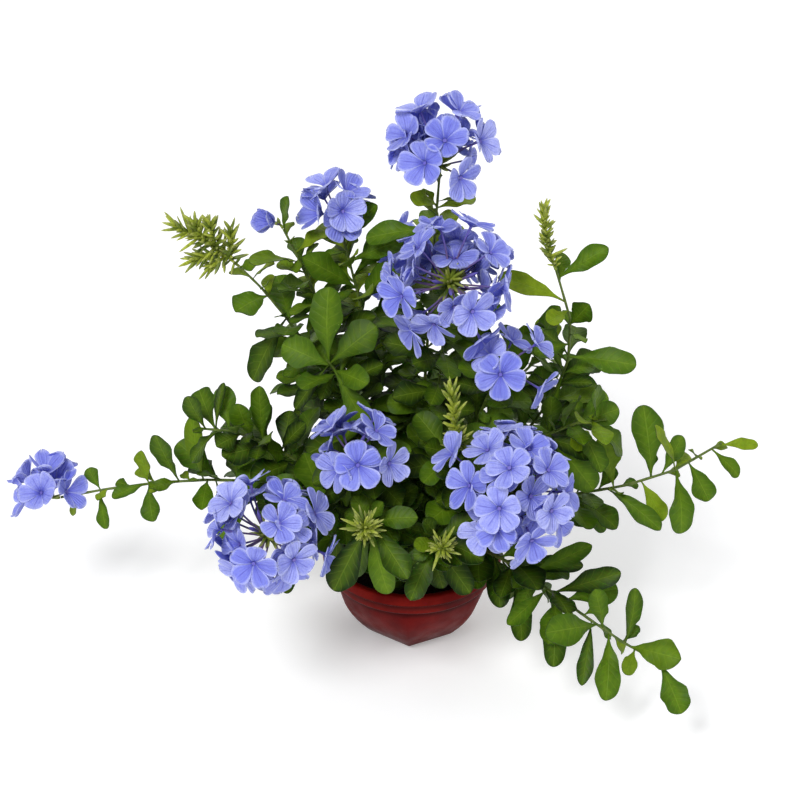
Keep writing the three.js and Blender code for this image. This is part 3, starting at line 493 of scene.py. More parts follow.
def fill_out():
    for index, (name, stem) in enumerate(STEMS.items()):
        draw = stream_of("fill", index)
        for place in MORE_PLACED.get(name, ()):
            keep_leaf(stem, placed_leaf(stem, place, draw, FILL["clearance"]))
        end = FILL_TO.get(name, FILL_END)
        fill_stretch(stem, FILL_FROM, end, FILL_STEP, FILL_LONG, draw)
        fill_stretch(stem, end, TUFT_END, TUFT_STEP, TUFT_LONG, draw)


MORE_FLORETS = 3.6  # tries for each floret that the solids have
LAYER = (0.6, 0.34)  # the shorter tubes of those further florets: least, and more at random
LAYER_GAP = 1.9  # millimetres between discs that lie over each other
NEAREST_FLORETS = 7.5  # millimetres between the middles of two florets, at least
INNER_CLEARANCE = 1.6


def from_disc(floret, point):
    """A point's height over the plane of a floret's disc, and its distance from its axis."""
    way = point - floret["centre"]
    height = float(np.dot(way, floret["out"]))
    return height, float(np.linalg.norm(way - floret["out"] * height))


def crosses(one, other):
    """Whether two florets' discs would lie in each other's plane, or too near each other."""
    for a, b in ((one, other), (other, one)):
        height, aside = from_disc(a, b["centre"])
        if abs(height) < LAYER_GAP and aside < 1.25 * a["radius"]:
            return True
    return float(np.linalg.norm(one["centre"] - other["centre"])) < NEAREST_FLORETS


def more_florets(index, name, head):
    """Florets of the inner layers, seen in the gaps between the outer ones."""
    draw = stream_of("inner_florets", index)
    nearest, widest = head["spread"]
    if head["florets"] < 2:
        return
    for _ in range(round(head["florets"] * MORE_FLORETS)):
        angle = math.radians(0.8 * nearest + (widest - 0.8 * nearest) * math.sqrt(draw()))
        out = leaning(head["axis"], angle, 2 * math.pi * draw())
        start = rachis_point(head, 1 - 0.75 * draw())
        tube = head["tube"] * (LAYER[0] + LAYER[1] * draw())
        radius = FLORET_RADIUS * (0.84 + 0.16 * draw())
        floret = make_floret(start, out, tube, radius, 2 * math.pi * draw(), inner=True)
        if any(crosses(floret, other) for other in head["items"]):
            continue
        if is_free(floret_samples(floret), name + " head", INNER_CLEARANCE):
            head["items"].append(floret)
            occupy(floret_samples(floret), name + " head")


for number, (name, head) in enumerate(HEADS.items()):
    more_florets(number, name, head)
fill_out()


# Meshes. A shape is a pair of vertex and face arrays with the values that its
# material reads at each vertex.

def grid_faces(rows, columns, offset=0, flip=False):
    i, j = np.meshgrid(np.arange(rows - 1), np.arange(columns - 1), indexing="ij")
    a = (i * columns + j).ravel() + offset
    quads = np.stack([a, a + 1, a + columns + 1, a + columns], 1)
    return quads[:, ::-1] if flip else quads


def slab_faces(rows, columns):
    """A closed thin sheet: an upper grid, a lower one, and the edge between them."""
    below = rows * columns
    top = grid_faces(rows, columns)
    bottom = grid_faces(rows, columns, below, flip=True)
    rim = ([(0, j) for j in range(columns)] + [(i, columns - 1) for i in range(1, rows)]
           + [(rows - 1, j) for j in range(columns - 2, -1, -1)] + [(i, 0) for i in range(rows - 2, 0, -1)])
    loop = np.array([i * columns + j for i, j in rim])
    after = np.roll(loop, -1)
    edge = np.stack([loop, loop + below, after + below, after], 1)
    return np.concatenate([top, bottom, edge])


def tube_faces(rings, sides):
    """A tube of rings, closed at both ends with a fan round one more vertex each."""
    faces = []
    for r in range(rings - 1):
        for i in range(sides):
            a, b = r * sides + i, r * sides + (i + 1) % sides
            faces.append((a, b, b + sides, a + sides))
    first, last, top = rings * sides, rings * sides + 1, (rings - 1) * sides
    for i in range(sides):
        j = (i + 1) % sides
        faces.append((first, j, i, i))
        faces.append((last, top + i, top + j, top + j))
    return np.array(faces)


def tube(centres, radii, sides, flutes):
    """The vertices of a tube with a radius for each ring. flutes is how far its ribs stand out."""
    centres = np.asarray(centres)
    ahead = np.gradient(centres, axis=0)
    first, _ = across_axis(unit(ahead[0]))
    angle = 2 * math.pi * np.arange(sides) / sides
    rib = 1 + flutes * (np.arange(sides) % 2)
    rings = []
    for centre, axis, radius in zip(centres, ahead, radii):
        axis = unit(axis)
        first = unit(first - axis * float(np.dot(axis, first)))
        second = cross(axis, first)
        outward = np.cos(angle)[:, None] * first + np.sin(angle)[:, None] * second
        rings.append(centre + outward * (radius * rib)[:, None])
    return np.concatenate(rings + [centres[:1], centres[-1:]])


def show(name, data):
    """A new object of the scene that shows a mesh, a light or a camera."""
    item = bpy.data.objects.new(name, data)
    bpy.context.scene.collection.objects.link(item)
    return item


def set_growth(mesh, values):
    """Stores the three values that the material reads at each vertex."""
    if "growth" in mesh.attributes:
        mesh.attributes.remove(mesh.attributes["growth"])
    field = mesh.attributes.new("growth", "FLOAT_VECTOR", "POINT")
    field.data.foreach_set("vector", np.asarray(values, dtype=np.float32).ravel())


class Builder:
    """Collects shapes, each with its material's index and three values a vertex."""

    def __init__(self):
        self.vertices, self.faces, self.values, self.slots = [], [], [], []
        self.count = 0

    def add(self, vertices, faces, values, slot=0):
        self.vertices.append(vertices)
        self.faces.append(faces + self.count)
        self.values.append(np.broadcast_to(values, (len(vertices), 3)))
        self.slots.append(np.full(len(faces), slot))
        self.count += len(vertices)

    def add_tube(self, centres, radii, sides, along, tone, slot=0, flutes=0.0):
        """A closed tube. along is the first of its values at each ring."""
        values = np.stack([along, along * 0, along * 0 + tone], 1)
        values = np.concatenate([np.repeat(values, sides, 0), values[:1], values[-1:]])
        self.add(tube(centres, radii, sides, flutes), tube_faces(len(centres), sides), values, slot)

    def add_sheet(self, middle, face, thickness, faces, along, across, tone, below=0):
        """A closed thin sheet round its middle surface. below is added to its lower side's tone."""
        shift = face * (thickness / 2)
        vertices = np.concatenate([(middle + shift).reshape(-1, 3), (middle - shift).reshape(-1, 3)])
        values = np.stack([along, across, np.full_like(along, tone)], -1).reshape(-1, 3)
        self.add(vertices, faces, np.concatenate([values, values + vec(0, 0, below)]))

    def object(self, name, materials, sharp=50):
        vertices = np.concatenate(self.vertices) * MM
        faces = np.concatenate(self.faces)
        values = np.concatenate(self.values)
        slots = np.concatenate(self.slots)
        rows = [face[:3] if face[2] == face[3] else face for face in faces.tolist()]
        mesh = bpy.data.meshes.new(name)
        mesh.from_pydata(vertices.tolist(), [], rows)
        set_growth(mesh, values)
        for material in materials:
            mesh.materials.append(material)
        mesh.polygons.foreach_set("material_index", slots.astype(np.int32))
        mesh.polygons.foreach_set("use_smooth", np.ones(len(rows), dtype=bool))
        mesh.set_sharp_from_angle(angle=math.radians(sharp))
        mesh.update()
        return show(name, mesh)


# Materials.

def srgb(red, green, blue):
    """A colour given as 0 to 255, as the screen shows it, in the shader's own scale."""
    def linear(c):
        c = c / 255
        return c / 12.92 if c <= 0.04045 else ((c + 0.055) / 1.055) ** 2.4
    return (linear(red), linear(green), linear(blue), 1)


class Shader:
    """A material's node tree with short calls for the nodes that it needs."""

    def __init__(self, name, roughness, **settings):
        self.material = bpy.data.materials.new(name)
        self.material.use_nodes = True
        self.links = self.material.node_tree.links
        self.surface = self.material.node_tree.nodes["Principled BSDF"]
        self.base = None
        self.fill(self.surface, Roughness=roughness, **settings)

    def node(self, kind, **settings):
        node = self.material.node_tree.nodes.new("ShaderNode" + kind)
        for key, value in settings.items():
            setattr(node, key, value)
        return node

    def put(self, socket, value):
        if isinstance(value, bpy.types.NodeSocket):
            self.links.new(value, socket)
        else:
            socket.default_value = value

    def fill(self, node, *values, **named):
        """Gives a node its inputs, in their order or by name, and returns its first output."""
        for socket, value in zip(node.inputs, values):
            self.put(socket, value)
        for key, value in named.items():
            self.put(node.inputs[key.replace("_", " ")], value)
        return node.outputs[0]

    def growth(self):
        node = self.node("Attribute", attribute_name="growth")
        split = self.node("SeparateXYZ")
        self.links.new(node.outputs["Vector"], split.inputs[0])
        return split.outputs

    def math(self, operation, a, b=0.0, c=0.0, clamp=False):
        return self.fill(self.node("Math", operation=operation, use_clamp=clamp), a, b, c)

    def ramp(self, value, low, high, to_low=0.0, to_high=1.0):
        node = self.node("MapRange", interpolation_type="SMOOTHSTEP")
        return self.fill(node, value, low, high, to_low, to_high)

    def times(self, a, b):
        return self.math("MULTIPLY", a, b)

    def mix(self, factor, a, b):
        node = self.node("Mix", data_type="RGBA")
        self.fill(node, Factor=factor, A=a, B=b)
        return node.outputs["Result"]

    def noise(self, scale, detail=2.0, roughness=0.5):
        place = self.node("TexCoord").outputs["Object"]
        return self.fill(self.node("TexNoise"), Vector=place, Scale=scale, Detail=detail, Roughness=roughness)

    def bump(self, height, distance, strength):
        bent = self.fill(self.node("Bump"), Distance=distance, Strength=strength, Height=height)
        self.put(self.surface.inputs["Normal"], bent)

    def paint(self, factor, red, green, blue):
        """Lays one more colour over the base colour, as far as the factor says."""
        self.base = self.mix(factor, self.base, srgb(red, green, blue))

    def finished(self):
        self.put(self.surface.inputs["Base Color"], self.base)
        return self.material


UNDERSIDE = 10.0
VEIN_WAVES, VEIN_LEAN = 52.0, 0.16  # of a leaf's side veins: how close they stand, how far they lean


def leaf_material():
    """growth is (share along the blade, -1 to 1 across it, the leaf's tone with its painted shade), with
    UNDERSIDE more in the tone on the underside."""
    s = Shader("leaf_blade", 0.5, Specular_IOR_Level=0.14, Subsurface_Weight=0.06, Subsurface_Scale=0.002,
               Subsurface_Radius=(0.3, 1.0, 0.1))
    along, across, mark = s.growth()
    under = s.ramp(mark, UNDERSIDE - 2, UNDERSIDE - 0.1)
    tone = s.math("MULTIPLY_ADD", under, -UNDERSIDE, mark)
    # Between the two faces, on the blade's thin edge, the tone is dark.
    tone = s.times(tone, s.ramp(tone, 1.0, 1.1, 1.0, 0.0))
    edge = s.math("ABSOLUTE", across)
    s.base = srgb(18, 33, 3)
    s.paint(s.ramp(tone, 0.0, 0.5), 66, 95, 8)
    s.paint(s.ramp(tone, 0.5, 1.0), 150, 168, 28)
    # Lighter along the middle, with soft blotches.
    s.paint(s.ramp(edge, 0.1, 0.9, 0.3, 0.0), 116, 146, 22)
    s.paint(s.ramp(s.noise(240, 3), 0.35, 0.7, 0.0, 0.3), 34, 66, 10)
    # The midrib, and side veins that lean towards the tip.
    midrib = s.ramp(edge, 0.015, 0.065, 1.0, 0.0)
    stray = s.math("MULTIPLY_ADD", s.noise(140), 0.09, along)
    lean = s.math("MULTIPLY_ADD", edge, -VEIN_LEAN, stray)
    wave = s.math("SINE", s.times(lean, VEIN_WAVES))
    vein = s.times(s.ramp(wave, 0.8, 1.0), s.ramp(edge, 0.7, 1.0, 0.4, 0.0))
    lines = s.math("MAXIMUM", midrib, vein, clamp=True)
    s.paint(s.times(lines, 0.22), 138, 164, 52)
    s.paint(s.times(under, 0.45), 106, 132, 58)
    cushion = s.math("MULTIPLY_ADD", wave, -0.2, s.times(lines, -0.8))
    s.bump(s.math("MULTIPLY_ADD", s.noise(900), 0.4, cushion), 0.0003, 0.6)
    return s.finished()


def stem_material():
    """growth is (share along the stem, 0, 0)."""
    s = Shader("stem_skin", 0.5, Specular_IOR_Level=0.3)
    along, _, _ = s.growth()
    streak = s.noise(420, 3)
    fibre = s.ramp(streak, 0.3, 0.7)
    green = s.mix(fibre, srgb(66, 88, 28), srgb(96, 112, 42))
    brown = s.mix(fibre, srgb(70, 54, 30), srgb(104, 82, 50))
    s.base = s.mix(s.ramp(along, 0.1, 0.55), brown, green)
    s.bump(streak, 0.0003, 0.5)
    return s.finished()


def petal_material():
    """growth is (share along the petal, -1 to 1 across it, the flower's own tone)."""
    s = Shader("petal_blade", 0.6, Specular_IOR_Level=0.25, Subsurface_Weight=0.15, Subsurface_Scale=0.002,
               Subsurface_Radius=(0.4, 0.4, 1.0))
    along, across, tone = s.growth()
    edge = s.math("ABSOLUTE", across)
    s.base = srgb(119, 127, 218)
    s.paint(tone, 171, 177, 240)
    # Painted shade: darker towards the petal's base, deep in the flower.
    s.paint(s.ramp(along, 0.0, 0.5, 0.85, 0.0), 88, 92, 200)
    s.paint(s.ramp(s.noise(230, 3), 0.4, 0.75, 0.0, 0.4), 108, 116, 212)
    # The lighter rim of the petal's edges and tip: partly its paler margin, partly a painted highlight.
    rim = s.math("MAXIMUM", s.ramp(edge, 0.6, 1.0), s.ramp(along, 0.84, 1.0), clamp=True)
    s.paint(s.times(rim, 0.6), 198, 204, 246)
    # The dark line along the middle of a petal, and fine streaks beside it.
    line = s.times(s.ramp(edge, 0.02, 0.09, 1.0, 0.0), s.ramp(along, 0.65, 0.92, 1.0, 0.0))
    s.paint(s.times(line, 0.55), 72, 70, 172)
    fan = s.math("SINE", s.times(across, 20.0))
    s.paint(s.times(s.ramp(fan, 0.6, 1.0), s.ramp(along, 0.2, 0.95, 0.35, 0.08)), 100, 106, 206)
    s.paint(s.ramp(s.noise(1300), 0.42, 0.7, 0.0, 0.3), 102, 108, 204)
    s.bump(s.math("MULTIPLY_ADD", fan, 0.3, s.noise(700)), 0.0004, 0.8)
    return s.finished()


def tube_material():
    """growth is (share along the tube, 0, the flower's own tone)."""
    s = Shader("flower_tube", 0.5, Specular_IOR_Level=0.3)
    along, _, tone = s.growth()
    s.base = srgb(96, 74, 104)
    s.paint(s.ramp(along, 0.3, 1.0), 96, 96, 196)
    s.paint(s.times(tone, 0.35), 134, 120, 190)
    s.paint(s.times(s.noise(500), 0.4), 110, 84, 112)
    s.bump(s.noise(900), 0.0002, 0.4)
    return s.finished()


def calyx_material():
    """growth is (share along the calyx, 0, the bud's own tone)."""
    s = Shader("calyx_skin", 0.5, Specular_IOR_Level=0.3)
    along, _, tone = s.growth()
    s.base = srgb(82, 104, 30)
    s.paint(tone, 176, 188, 62)
    s.paint(s.ramp(along, 0.55, 1.0, 0.0, 0.6), 184, 186, 108)
    s.paint(s.ramp(s.noise(800, 3), 0.4, 0.7, 0.0, 0.5), 70, 88, 30)
    s.bump(s.noise(1500), 0.0003, 0.6)
    return s.finished()


BODY_TOP = POT["height"] - POT["lip"] - POT["band"]


def pot_material():
    """growth is (height as a share of the pot's, 0, 0)."""
    s = Shader("pot_plastic", 0.42, Specular_IOR_Level=0.03)
    height, _, _ = s.growth()
    blotch = s.ramp(s.noise(38, 4, 0.6), 0.3, 0.75)
    body = s.mix(blotch, srgb(80, 8, 9), srgb(112, 20, 18))
    rim = s.mix(blotch, srgb(96, 10, 8), srgb(132, 26, 18))
    # Painted shade: the body darkens towards its foot, against the light that the pale floor throws up on it.
    body = s.mix(s.ramp(height, 0.0, 0.45, 0.6, 0.0), body, srgb(66, 2, 3))
    s.base = s.mix(s.ramp(height, 0.72, 0.82), body, rim)
    # Painted shade under the two steps of the rim.
    for step in (BODY_TOP / POT["height"], 1 - POT["lip"] / POT["height"]):
        under = s.times(s.ramp(height, step - 0.12, step - 0.04),
                        s.ramp(height, step + 0.012, step + 0.026, 1.0, 0.0))
        s.paint(s.times(under, 0.7), 36, 3, 4)
    s.paint(s.times(s.ramp(s.noise(300, 5, 0.7), 0.55, 0.8), 0.1), 118, 74, 62)
    s.bump(s.math("MULTIPLY_ADD", s.noise(1400), 0.4, s.noise(60, 3)), 0.0004, 0.4)
    s.put(s.surface.inputs["Roughness"], s.ramp(s.noise(120, 4), 0.3, 0.8, 0.3, 0.5))
    return s.finished()


def soil_material():
    s = Shader("soil_crumb", 0.9, Specular_IOR_Level=0.2)
    crumb = s.noise(420, 5, 0.7)
    s.base = srgb(22, 15, 12)
    s.paint(s.ramp(crumb, 0.35, 0.65), 50, 36, 28)
    s.paint(s.ramp(s.noise(1100), 0.66, 0.72, 0.0, 0.6), 96, 78, 62)
    s.bump(crumb, 0.002, 1.0)
    return s.finished()


LEAF_MATERIAL = leaf_material()
STEM_MATERIAL = stem_material()
PETAL_MATERIAL = petal_material()
TUBE_MATERIAL = tube_material()
CALYX_MATERIAL = calyx_material()
POT_MATERIAL = pot_material()
SOIL_MATERIAL = soil_material()


# Leafy stems.

LEAF_ROWS, LEAF_COLUMNS = 19, 7
LEAF_FACES = slab_faces(LEAF_ROWS, LEAF_COLUMNS)
LEAF_THICKNESS = 0.36
# The rows lie closer together towards the rounded tip.
LEAF_U = np.sin(np.linspace(0, math.pi / 2, LEAF_ROWS)) ** 1.15
WIDEST = 0.72  # where a blade or a petal is widest, as a share of its length
LARGE_LEAF = 32  # from this length on, a leaf's edges wave in full


def past_widest(u):
    return np.clip((u - WIDEST) / (1 - WIDEST), 0, 1)


def blade_width(u):
    """Half a blade's width, over its widest: a narrow base, and a rounded end."""
    base = 0.06 + 0.47 * (1 - np.cos(math.pi * np.minimum(1, u / WIDEST) ** 1.12))
    return base * (1 - past_widest(u) ** 2.2) ** 0.5


def leaf_shape(builder, leaf, tone, draw):
    uu, vv = np.meshgrid(LEAF_U, np.linspace(-1, 1, LEAF_COLUMNS), indexing="ij")
    half = np.maximum(LEAF["petiole"] * 0.8, leaf["half"] * blade_width(uu))
    half = np.where(uu > 0.999, 0.3, half)
    ruffle = np.minimum(1, half / 3)
    small = min(1, leaf["long"] / LARGE_LEAF) ** 2
    turn = 2 * math.pi * draw()
    ripple = 1.1 + (0.07 * np.sin(14 * uu + turn * vv) + 0.03 * np.sin(23 * uu - turn * vv)) * np.abs(vv)
    wave = blade_wave(leaf, uu, vv, half)
    wave = wave + 0.7 * small * np.sin(17 * uu + leaf["phase"] + 2 * vv) * vv ** 2 * ruffle
    # The blade swells a little between the side veins.
    swell = 0.2 * np.sin(VEIN_WAVES * (uu - VEIN_LEAN * np.abs(vv))) * (1 - vv * vv) * ruffle
    curl = 0.05 * leaf["long"] * (draw() - 0.3) * uu ** 6
    lift = LEAF["fold"] * half * np.abs(vv) ** 1.3 - leaf["droop"] * leaf["long"] * uu * uu
    middle = blade_points(leaf, uu, half * vv * ripple, lift + wave + swell - curl)
    builder.add_sheet(middle, leaf["face"], LEAF_THICKNESS, LEAF_FACES, uu, vv, tone, UNDERSIDE)


STEM_RING_STEP = 5
STALK_SIDES = 8


def stem_radius(share):
    return STEM["root_radius"] + (STEM["tip_radius"] - STEM["root_radius"]) * math.sqrt(share)


def stem_shape(builder, stem):
    count = math.ceil(stem["length"] / STEM_RING_STEP)
    x, y = stem["root"]
    centres = [vec(x, y, STEM["bottom"]), vec(x, y, STEM["bottom"] + 10)]
    centres += [stem_point(stem, i / count) for i in range(count + 1)]
    shares = np.array([0, 0] + [i / count for i in range(count + 1)])
    # Its joints make a stem a little thicker again and again.
    radii = [stem_radius(share) * (0.8 + 0.08 * math.sin(90 * share)) for share in shares]
    builder.add_tube(centres, radii, STALK_SIDES, shares, 0, slot=1)


# A leaf is lighter the further its tip reaches from a point low inside the plant, a small one more so, and no
# leaf is lighter than TONE_MOST. The darker leaves deep inside are partly older leaves' own darker green and
# partly painted shade. TONE_SHIFT goes to all leaves of a stem.
REACH_CENTRE, REACH_WEIGHT, REACH_FULL = vec(0, 0, 110), vec(0.8, 0.9, 1.1), 160
SMALL_LEAF = 22
TONE_MOST = 0.76
TONE_SHIFT = dict(lower_right_trail=-0.14, right_trail=0.1, upper_left=0.08, left_middle=-0.06)


def make_stem(index, stem):
    draw = stream_of("leaf_looks", index)
    builder = Builder()
    stem_shape(builder, stem)
    for leaf in stem["items"]:
        # Painted shade, with older leaves' darker green: the nearer a leaf's tip to the plant's inside, the
        # darker.
        reach = np.linalg.norm((leaf["start"] + leaf["along"] * leaf["long"] - REACH_CENTRE) * REACH_WEIGHT)
        tone = 0.02 + 0.6 * min(1, reach / REACH_FULL) ** 1.7 + 0.6 * (draw() - 0.4)
        tone += 0.12 * (leaf["long"] < SMALL_LEAF) + TONE_SHIFT.get(stem["name"], 0)
        leaf_shape(builder, leaf, min(TONE_MOST, max(0, tone)), draw)
    piece = builder.object("leafy_stem_" + stem["name"], [LEAF_MATERIAL, STEM_MATERIAL])
    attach(piece, "root")
    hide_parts("stem_" + stem["name"])


# Flower heads.

PETAL_ROWS, PETAL_COLUMNS = 10, 9
PETAL_FACES = slab_faces(PETAL_ROWS, PETAL_COLUMNS)
PETALS = 5
PETAL_THICKNESS = 0.26
CALYX_SHARE = 0.36  # of a flower's length up to its petals
PETAL_S = np.sin(np.linspace(0, math.pi / 2, PETAL_ROWS))


def petal_width(s):
    """Half a petal's width, over its widest: a narrow claw, and a rounded end."""
    claw = 0.1 + 0.9 * np.sin(math.pi / 2 * np.minimum(1, s / WIDEST)) ** 1.15
    return claw * (1 - past_widest(s) ** 2.4) ** 0.55


TILT, INNER_TILT = 14, 26  # degrees that a flower's face turns from its tube, at most
# Radians that a head's petals stand up from flat, about.
HALF_OPEN = dict(single=0.8, top=0.3, upper_left=0.4, far_left=0.5, back=0.25)
OPEN = 0.08


def petal_shape(builder, floret, face, index, tone, draw, raised):
    first, second = across_axis(face)
    angle = floret["spin"] + 2 * math.pi * index / PETALS + math.radians(8 * (draw() - 0.5))
    radial = first * math.cos(angle) + second * math.sin(angle)
    aside = cross(face, radial)
    ss, tt = np.meshgrid(PETAL_S, np.linspace(-1, 1, PETAL_COLUMNS), indexing="ij")
    reach = floret["radius"] * (0.9 + 0.1 * draw())
    half = np.maximum(reach * (0.4 + 0.05 * draw()) * petal_width(ss), 0.35)
    notch = 1 + (0.07 * draw() - 0.02) * np.abs(tt) * ss ** 6
    radius = 0.7 + (reach - 0.7) * ss * notch
    curl = 3.2 * draw() - 1.3
    cup = 0.5 * draw() - 0.16
    twist = 0.5 * (draw() - 0.5)
    ruffle = (0.6 * np.sin(4.5 * tt + 2 * math.pi * draw()) * ss ** 2 * np.abs(tt)
              + 0.35 * np.sin(9 * tt + 2 * math.pi * draw()) * ss ** 4)
    rise = -1.6 * np.exp(-ss * 9) + 1.5 * ss ** 2 - curl * ss ** 3.5 + cup * half * tt * tt * (1 - 0.5 * ss)
    crease = 0.35 * np.exp(-(tt / 0.16) ** 2) * ss * (1 - ss)
    height = rise + ruffle - crease + (0.13 + twist * ss) * half * tt
    height = height + radius * math.sin(raised)
    radius = radius * math.cos(raised)
    middle = (floret["centre"] + radial * radius[..., None] + aside * (half * tt)[..., None]
              + face * height[..., None])
    builder.add_sheet(middle, face, PETAL_THICKNESS, PETAL_FACES, ss, tt, tone)


def tube_shape(builder, floret, tone):
    """The corolla's long thin tube, a little wider where it opens."""
    shares = np.linspace(0.1, 1, 8)
    first, _ = across_axis(floret["out"])
    bow = 0.9 * np.sin(math.pi * shares)
    span = floret["centre"] - floret["start"]
    centres = floret["start"] + span * shares[:, None] + first * bow[:, None]
    centres[-1] = floret["centre"] - floret["out"] * 0.7
    radii = np.interp(shares, [0, 0.85, 0.96, 1], [0.5, 0.55, 0.75, 1.05])
    builder.add_tube(centres, radii, STALK_SIDES, shares, tone, slot=1)


# Slender bodies: the shares of their length that have a ring, and the rings' radii.
CALYX = np.array([(0, 0.08, 0.3, 0.6, 0.85, 1), (0.35, 0.75, 1, 0.92, 0.62, 0.16)])
CLOSED_FLOWER = np.array([(0, 0.25, 0.45, 0.62, 0.72, 0.82, 0.92, 1),
                          (0.45, 0.5, 0.55, 0.8, 1.05, 1, 0.65, 0.2)])


def slender(builder, outline, start, out, long, width, tone, bow, **how):
    """A body that grows out from a point and bows aside towards its closed tip."""
    shares, radii = outline
    first, _ = across_axis(out)
    centres = start + out * (shares * long)[:, None] + first * (bow * shares ** 2)[:, None]
    builder.add_tube(centres, width * radii, along=shares, tone=tone, **how)


def calyx_shape(builder, start, out, long, width, tone, bow=0.0):
    """A ribbed green tube that narrows to its teeth."""
    slender(builder, CALYX, start, out, long, width, tone, bow, sides=10, flutes=0.16)


def stalk_shape(builder, centres, base, tip, sides):
    """A green stalk with these radii at its ends."""
    shares = np.linspace(0, 1, len(centres))
    builder.add_tube(centres, base + (tip - base) * shares, sides, shares * 0.4, 0.3)


def rachis_shape(builder, item):
    centres = [rachis_point(item, share) for share in np.linspace(0, 1, 7)]
    stalk_shape(builder, centres, 0.85, 0.6, STALK_SIDES)


def pokes(head, tip):
    """Whether a point would stand in front of a floret's disc or just behind it."""
    for floret in head["items"]:
        height, aside = from_disc(floret, tip)
        if height > -3 and aside < floret["radius"]:
            return True
    return False


def make_head(index, head):
    draw = stream_of("flower_looks", index)
    petals, stalks = Builder(), Builder()
    rachis_shape(stalks, head)
    for floret in head["items"]:
        tone = draw()
        tilt = INNER_TILT if "inner" in floret else TILT
        face = leaning(floret["out"], math.radians(tilt * draw()), 2 * math.pi * draw())
        raised = HALF_OPEN.get(head["name"], OPEN) * (0.5 + draw())
        # A half-open flower sits lower, so that its petals end where the open ones do.
        floret["centre"] = floret["centre"] - floret["out"] * (0.8 * floret["radius"] * math.sin(raised))
        for k in range(PETALS):
            petal_shape(petals, floret, face, k, min(1, max(0, tone + 0.4 * (draw() - 0.5))), draw, raised)
        tube_shape(stalks, floret, tone)
        calyx_shape(stalks, floret["start"], floret["out"], floret["tube"] * CALYX_SHARE, 0.95, 0.35 * draw())
    # Spent calyces and unopened flowers between the others.
    for i in range(2 + len(head["items"]) // 2):
        out = leaning(head["axis"], math.radians(10 + 60 * draw()), math.radians(GOLDEN_ANGLE * i))
        start = rachis_point(head, 1 - 0.4 * draw())
        long = head["tube"] * (0.3 + 0.12 * draw())
        calyx_shape(stalks, start, out, long, 0.9, 0.1 + 0.6 * draw())
        far = head["tube"] * (0.66 + 0.2 * draw())
        if i % 3 == 0 and not pokes(head, start + out * far):
            tone = 0.2 + 0.5 * draw()
            bow = 2.2 * draw() - 1.1
            slender(stalks, CLOSED_FLOWER, start, out, far, 1, tone, bow, sides=STALK_SIDES, slot=1)
    piece = petals.object("petals_" + head["name"], [PETAL_MATERIAL], sharp=60)
    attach(piece, "root")
    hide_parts("flowers_" + head["name"])
    piece = stalks.object("flower_stalks_" + head["name"], [CALYX_MATERIAL, TUBE_MATERIAL])
    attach(piece, "root")


# Bud sprays.

MORE_BUDS = dict(bud_upper_left=46, spike=66, bud_centre=84, bud_front=44, bud_middle=22)
# Side spikes of a spray, each with small buds of its own: where it leaves the rachis,
# its direction and its length.
SIDE_SPIKES = dict(bud_upper_left=[(0.14, (0.05, -0.1, 1), 20), (0.36, (-0.2, -0.2, 1), 20),
                                   (0.55, (-0.4, -0.2, 1), 14), (0.3, (-1, -0.3, -0.15), 17),
                                   (0.2, (-1, -0.2, -0.5), 11)],
                   bud_middle=[(0.6, (-0.12, 0.2, 1), 32)])
SPIKE_BUDS = 1.3  # for each millimetre of a side spike


def side_spike(builder, spray, share, way, long, draw):
    start, axis = rachis_point(spray, share), unit(vec(*way))
    stalk_shape(builder, start + axis * (np.linspace(0, 1, 5) * long)[:, None], 0.6, 0.3, 6)
    count = round(SPIKE_BUDS * long)
    for i in range(count):
        place = (i + 1) / count
        lean = math.radians(16 + 44 * (1 - place) + 16 * draw())
        out = leaning(axis, lean, math.radians(GOLDEN_ANGLE * i))
        bud = spray["bud"] * (0.4 + 0.45 * draw())
        foot = start + axis * (long * place * 0.95)
        calyx_shape(builder, foot, out, bud, 0.7 + 0.3 * draw(), draw(), bow=draw() - 0.3)


def make_spray(index, spray):
    draw = stream_of("bud_looks", index)
    builder = Builder()
    rachis_shape(builder, spray)
    for bud in spray["items"]:
        long = bud["long"] * (0.8 + 0.2 * draw())
        calyx_shape(builder, bud["start"], bud["out"], long, 0.84, draw(), bow=1.2 * (draw() - 0.3))
    # The smaller buds and bracts that crowd between those.
    nearest, widest = spray["spread"]
    count = MORE_BUDS[spray["name"]]
    for i in range(count):
        share = (i + 0.5) / count
        start = rachis_point(spray, 1 - 0.95 * share)
        angle = nearest + (widest - nearest) * math.sqrt(share) * (0.7 + 0.5 * draw())
        out = leaning(spray["axis"], math.radians(angle), math.radians(GOLDEN_ANGLE * i + 40 * draw()))
        long = spray["bud"] * (0.4 + 0.4 * draw())
        calyx_shape(builder, start, out, long, 0.5 + 0.34 * draw(), draw(), bow=1.4 * (draw() - 0.3))
    for share, way, long in SIDE_SPIKES.get(spray["name"], ()):
        side_spike(builder, spray, share, way, long, draw)
    piece = builder.object("bud_spray_" + spray["name"], [CALYX_MATERIAL])
    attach(piece, "root")
    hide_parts("buds_" + spray["name"])


for make, items in ((make_stem, STEMS), (make_head, HEADS), (make_spray, SPRAYS)):
    for number, item in enumerate(items.values()):
        make(number, item)


# The pot and its soil.

POT_STEPS = 96
BAND_RADIUS = POT["rim_radius"] - POT["step"]


def body_radius(z):
    share = math.sin(math.pi / 2 * z / BODY_TOP) ** 0.85
    return POT["base_radius"] + (BAND_RADIUS - POT["step"] - POT["base_radius"]) * share


def body_corner(z):
    return 1 - (z / BODY_TOP) ** 1.5


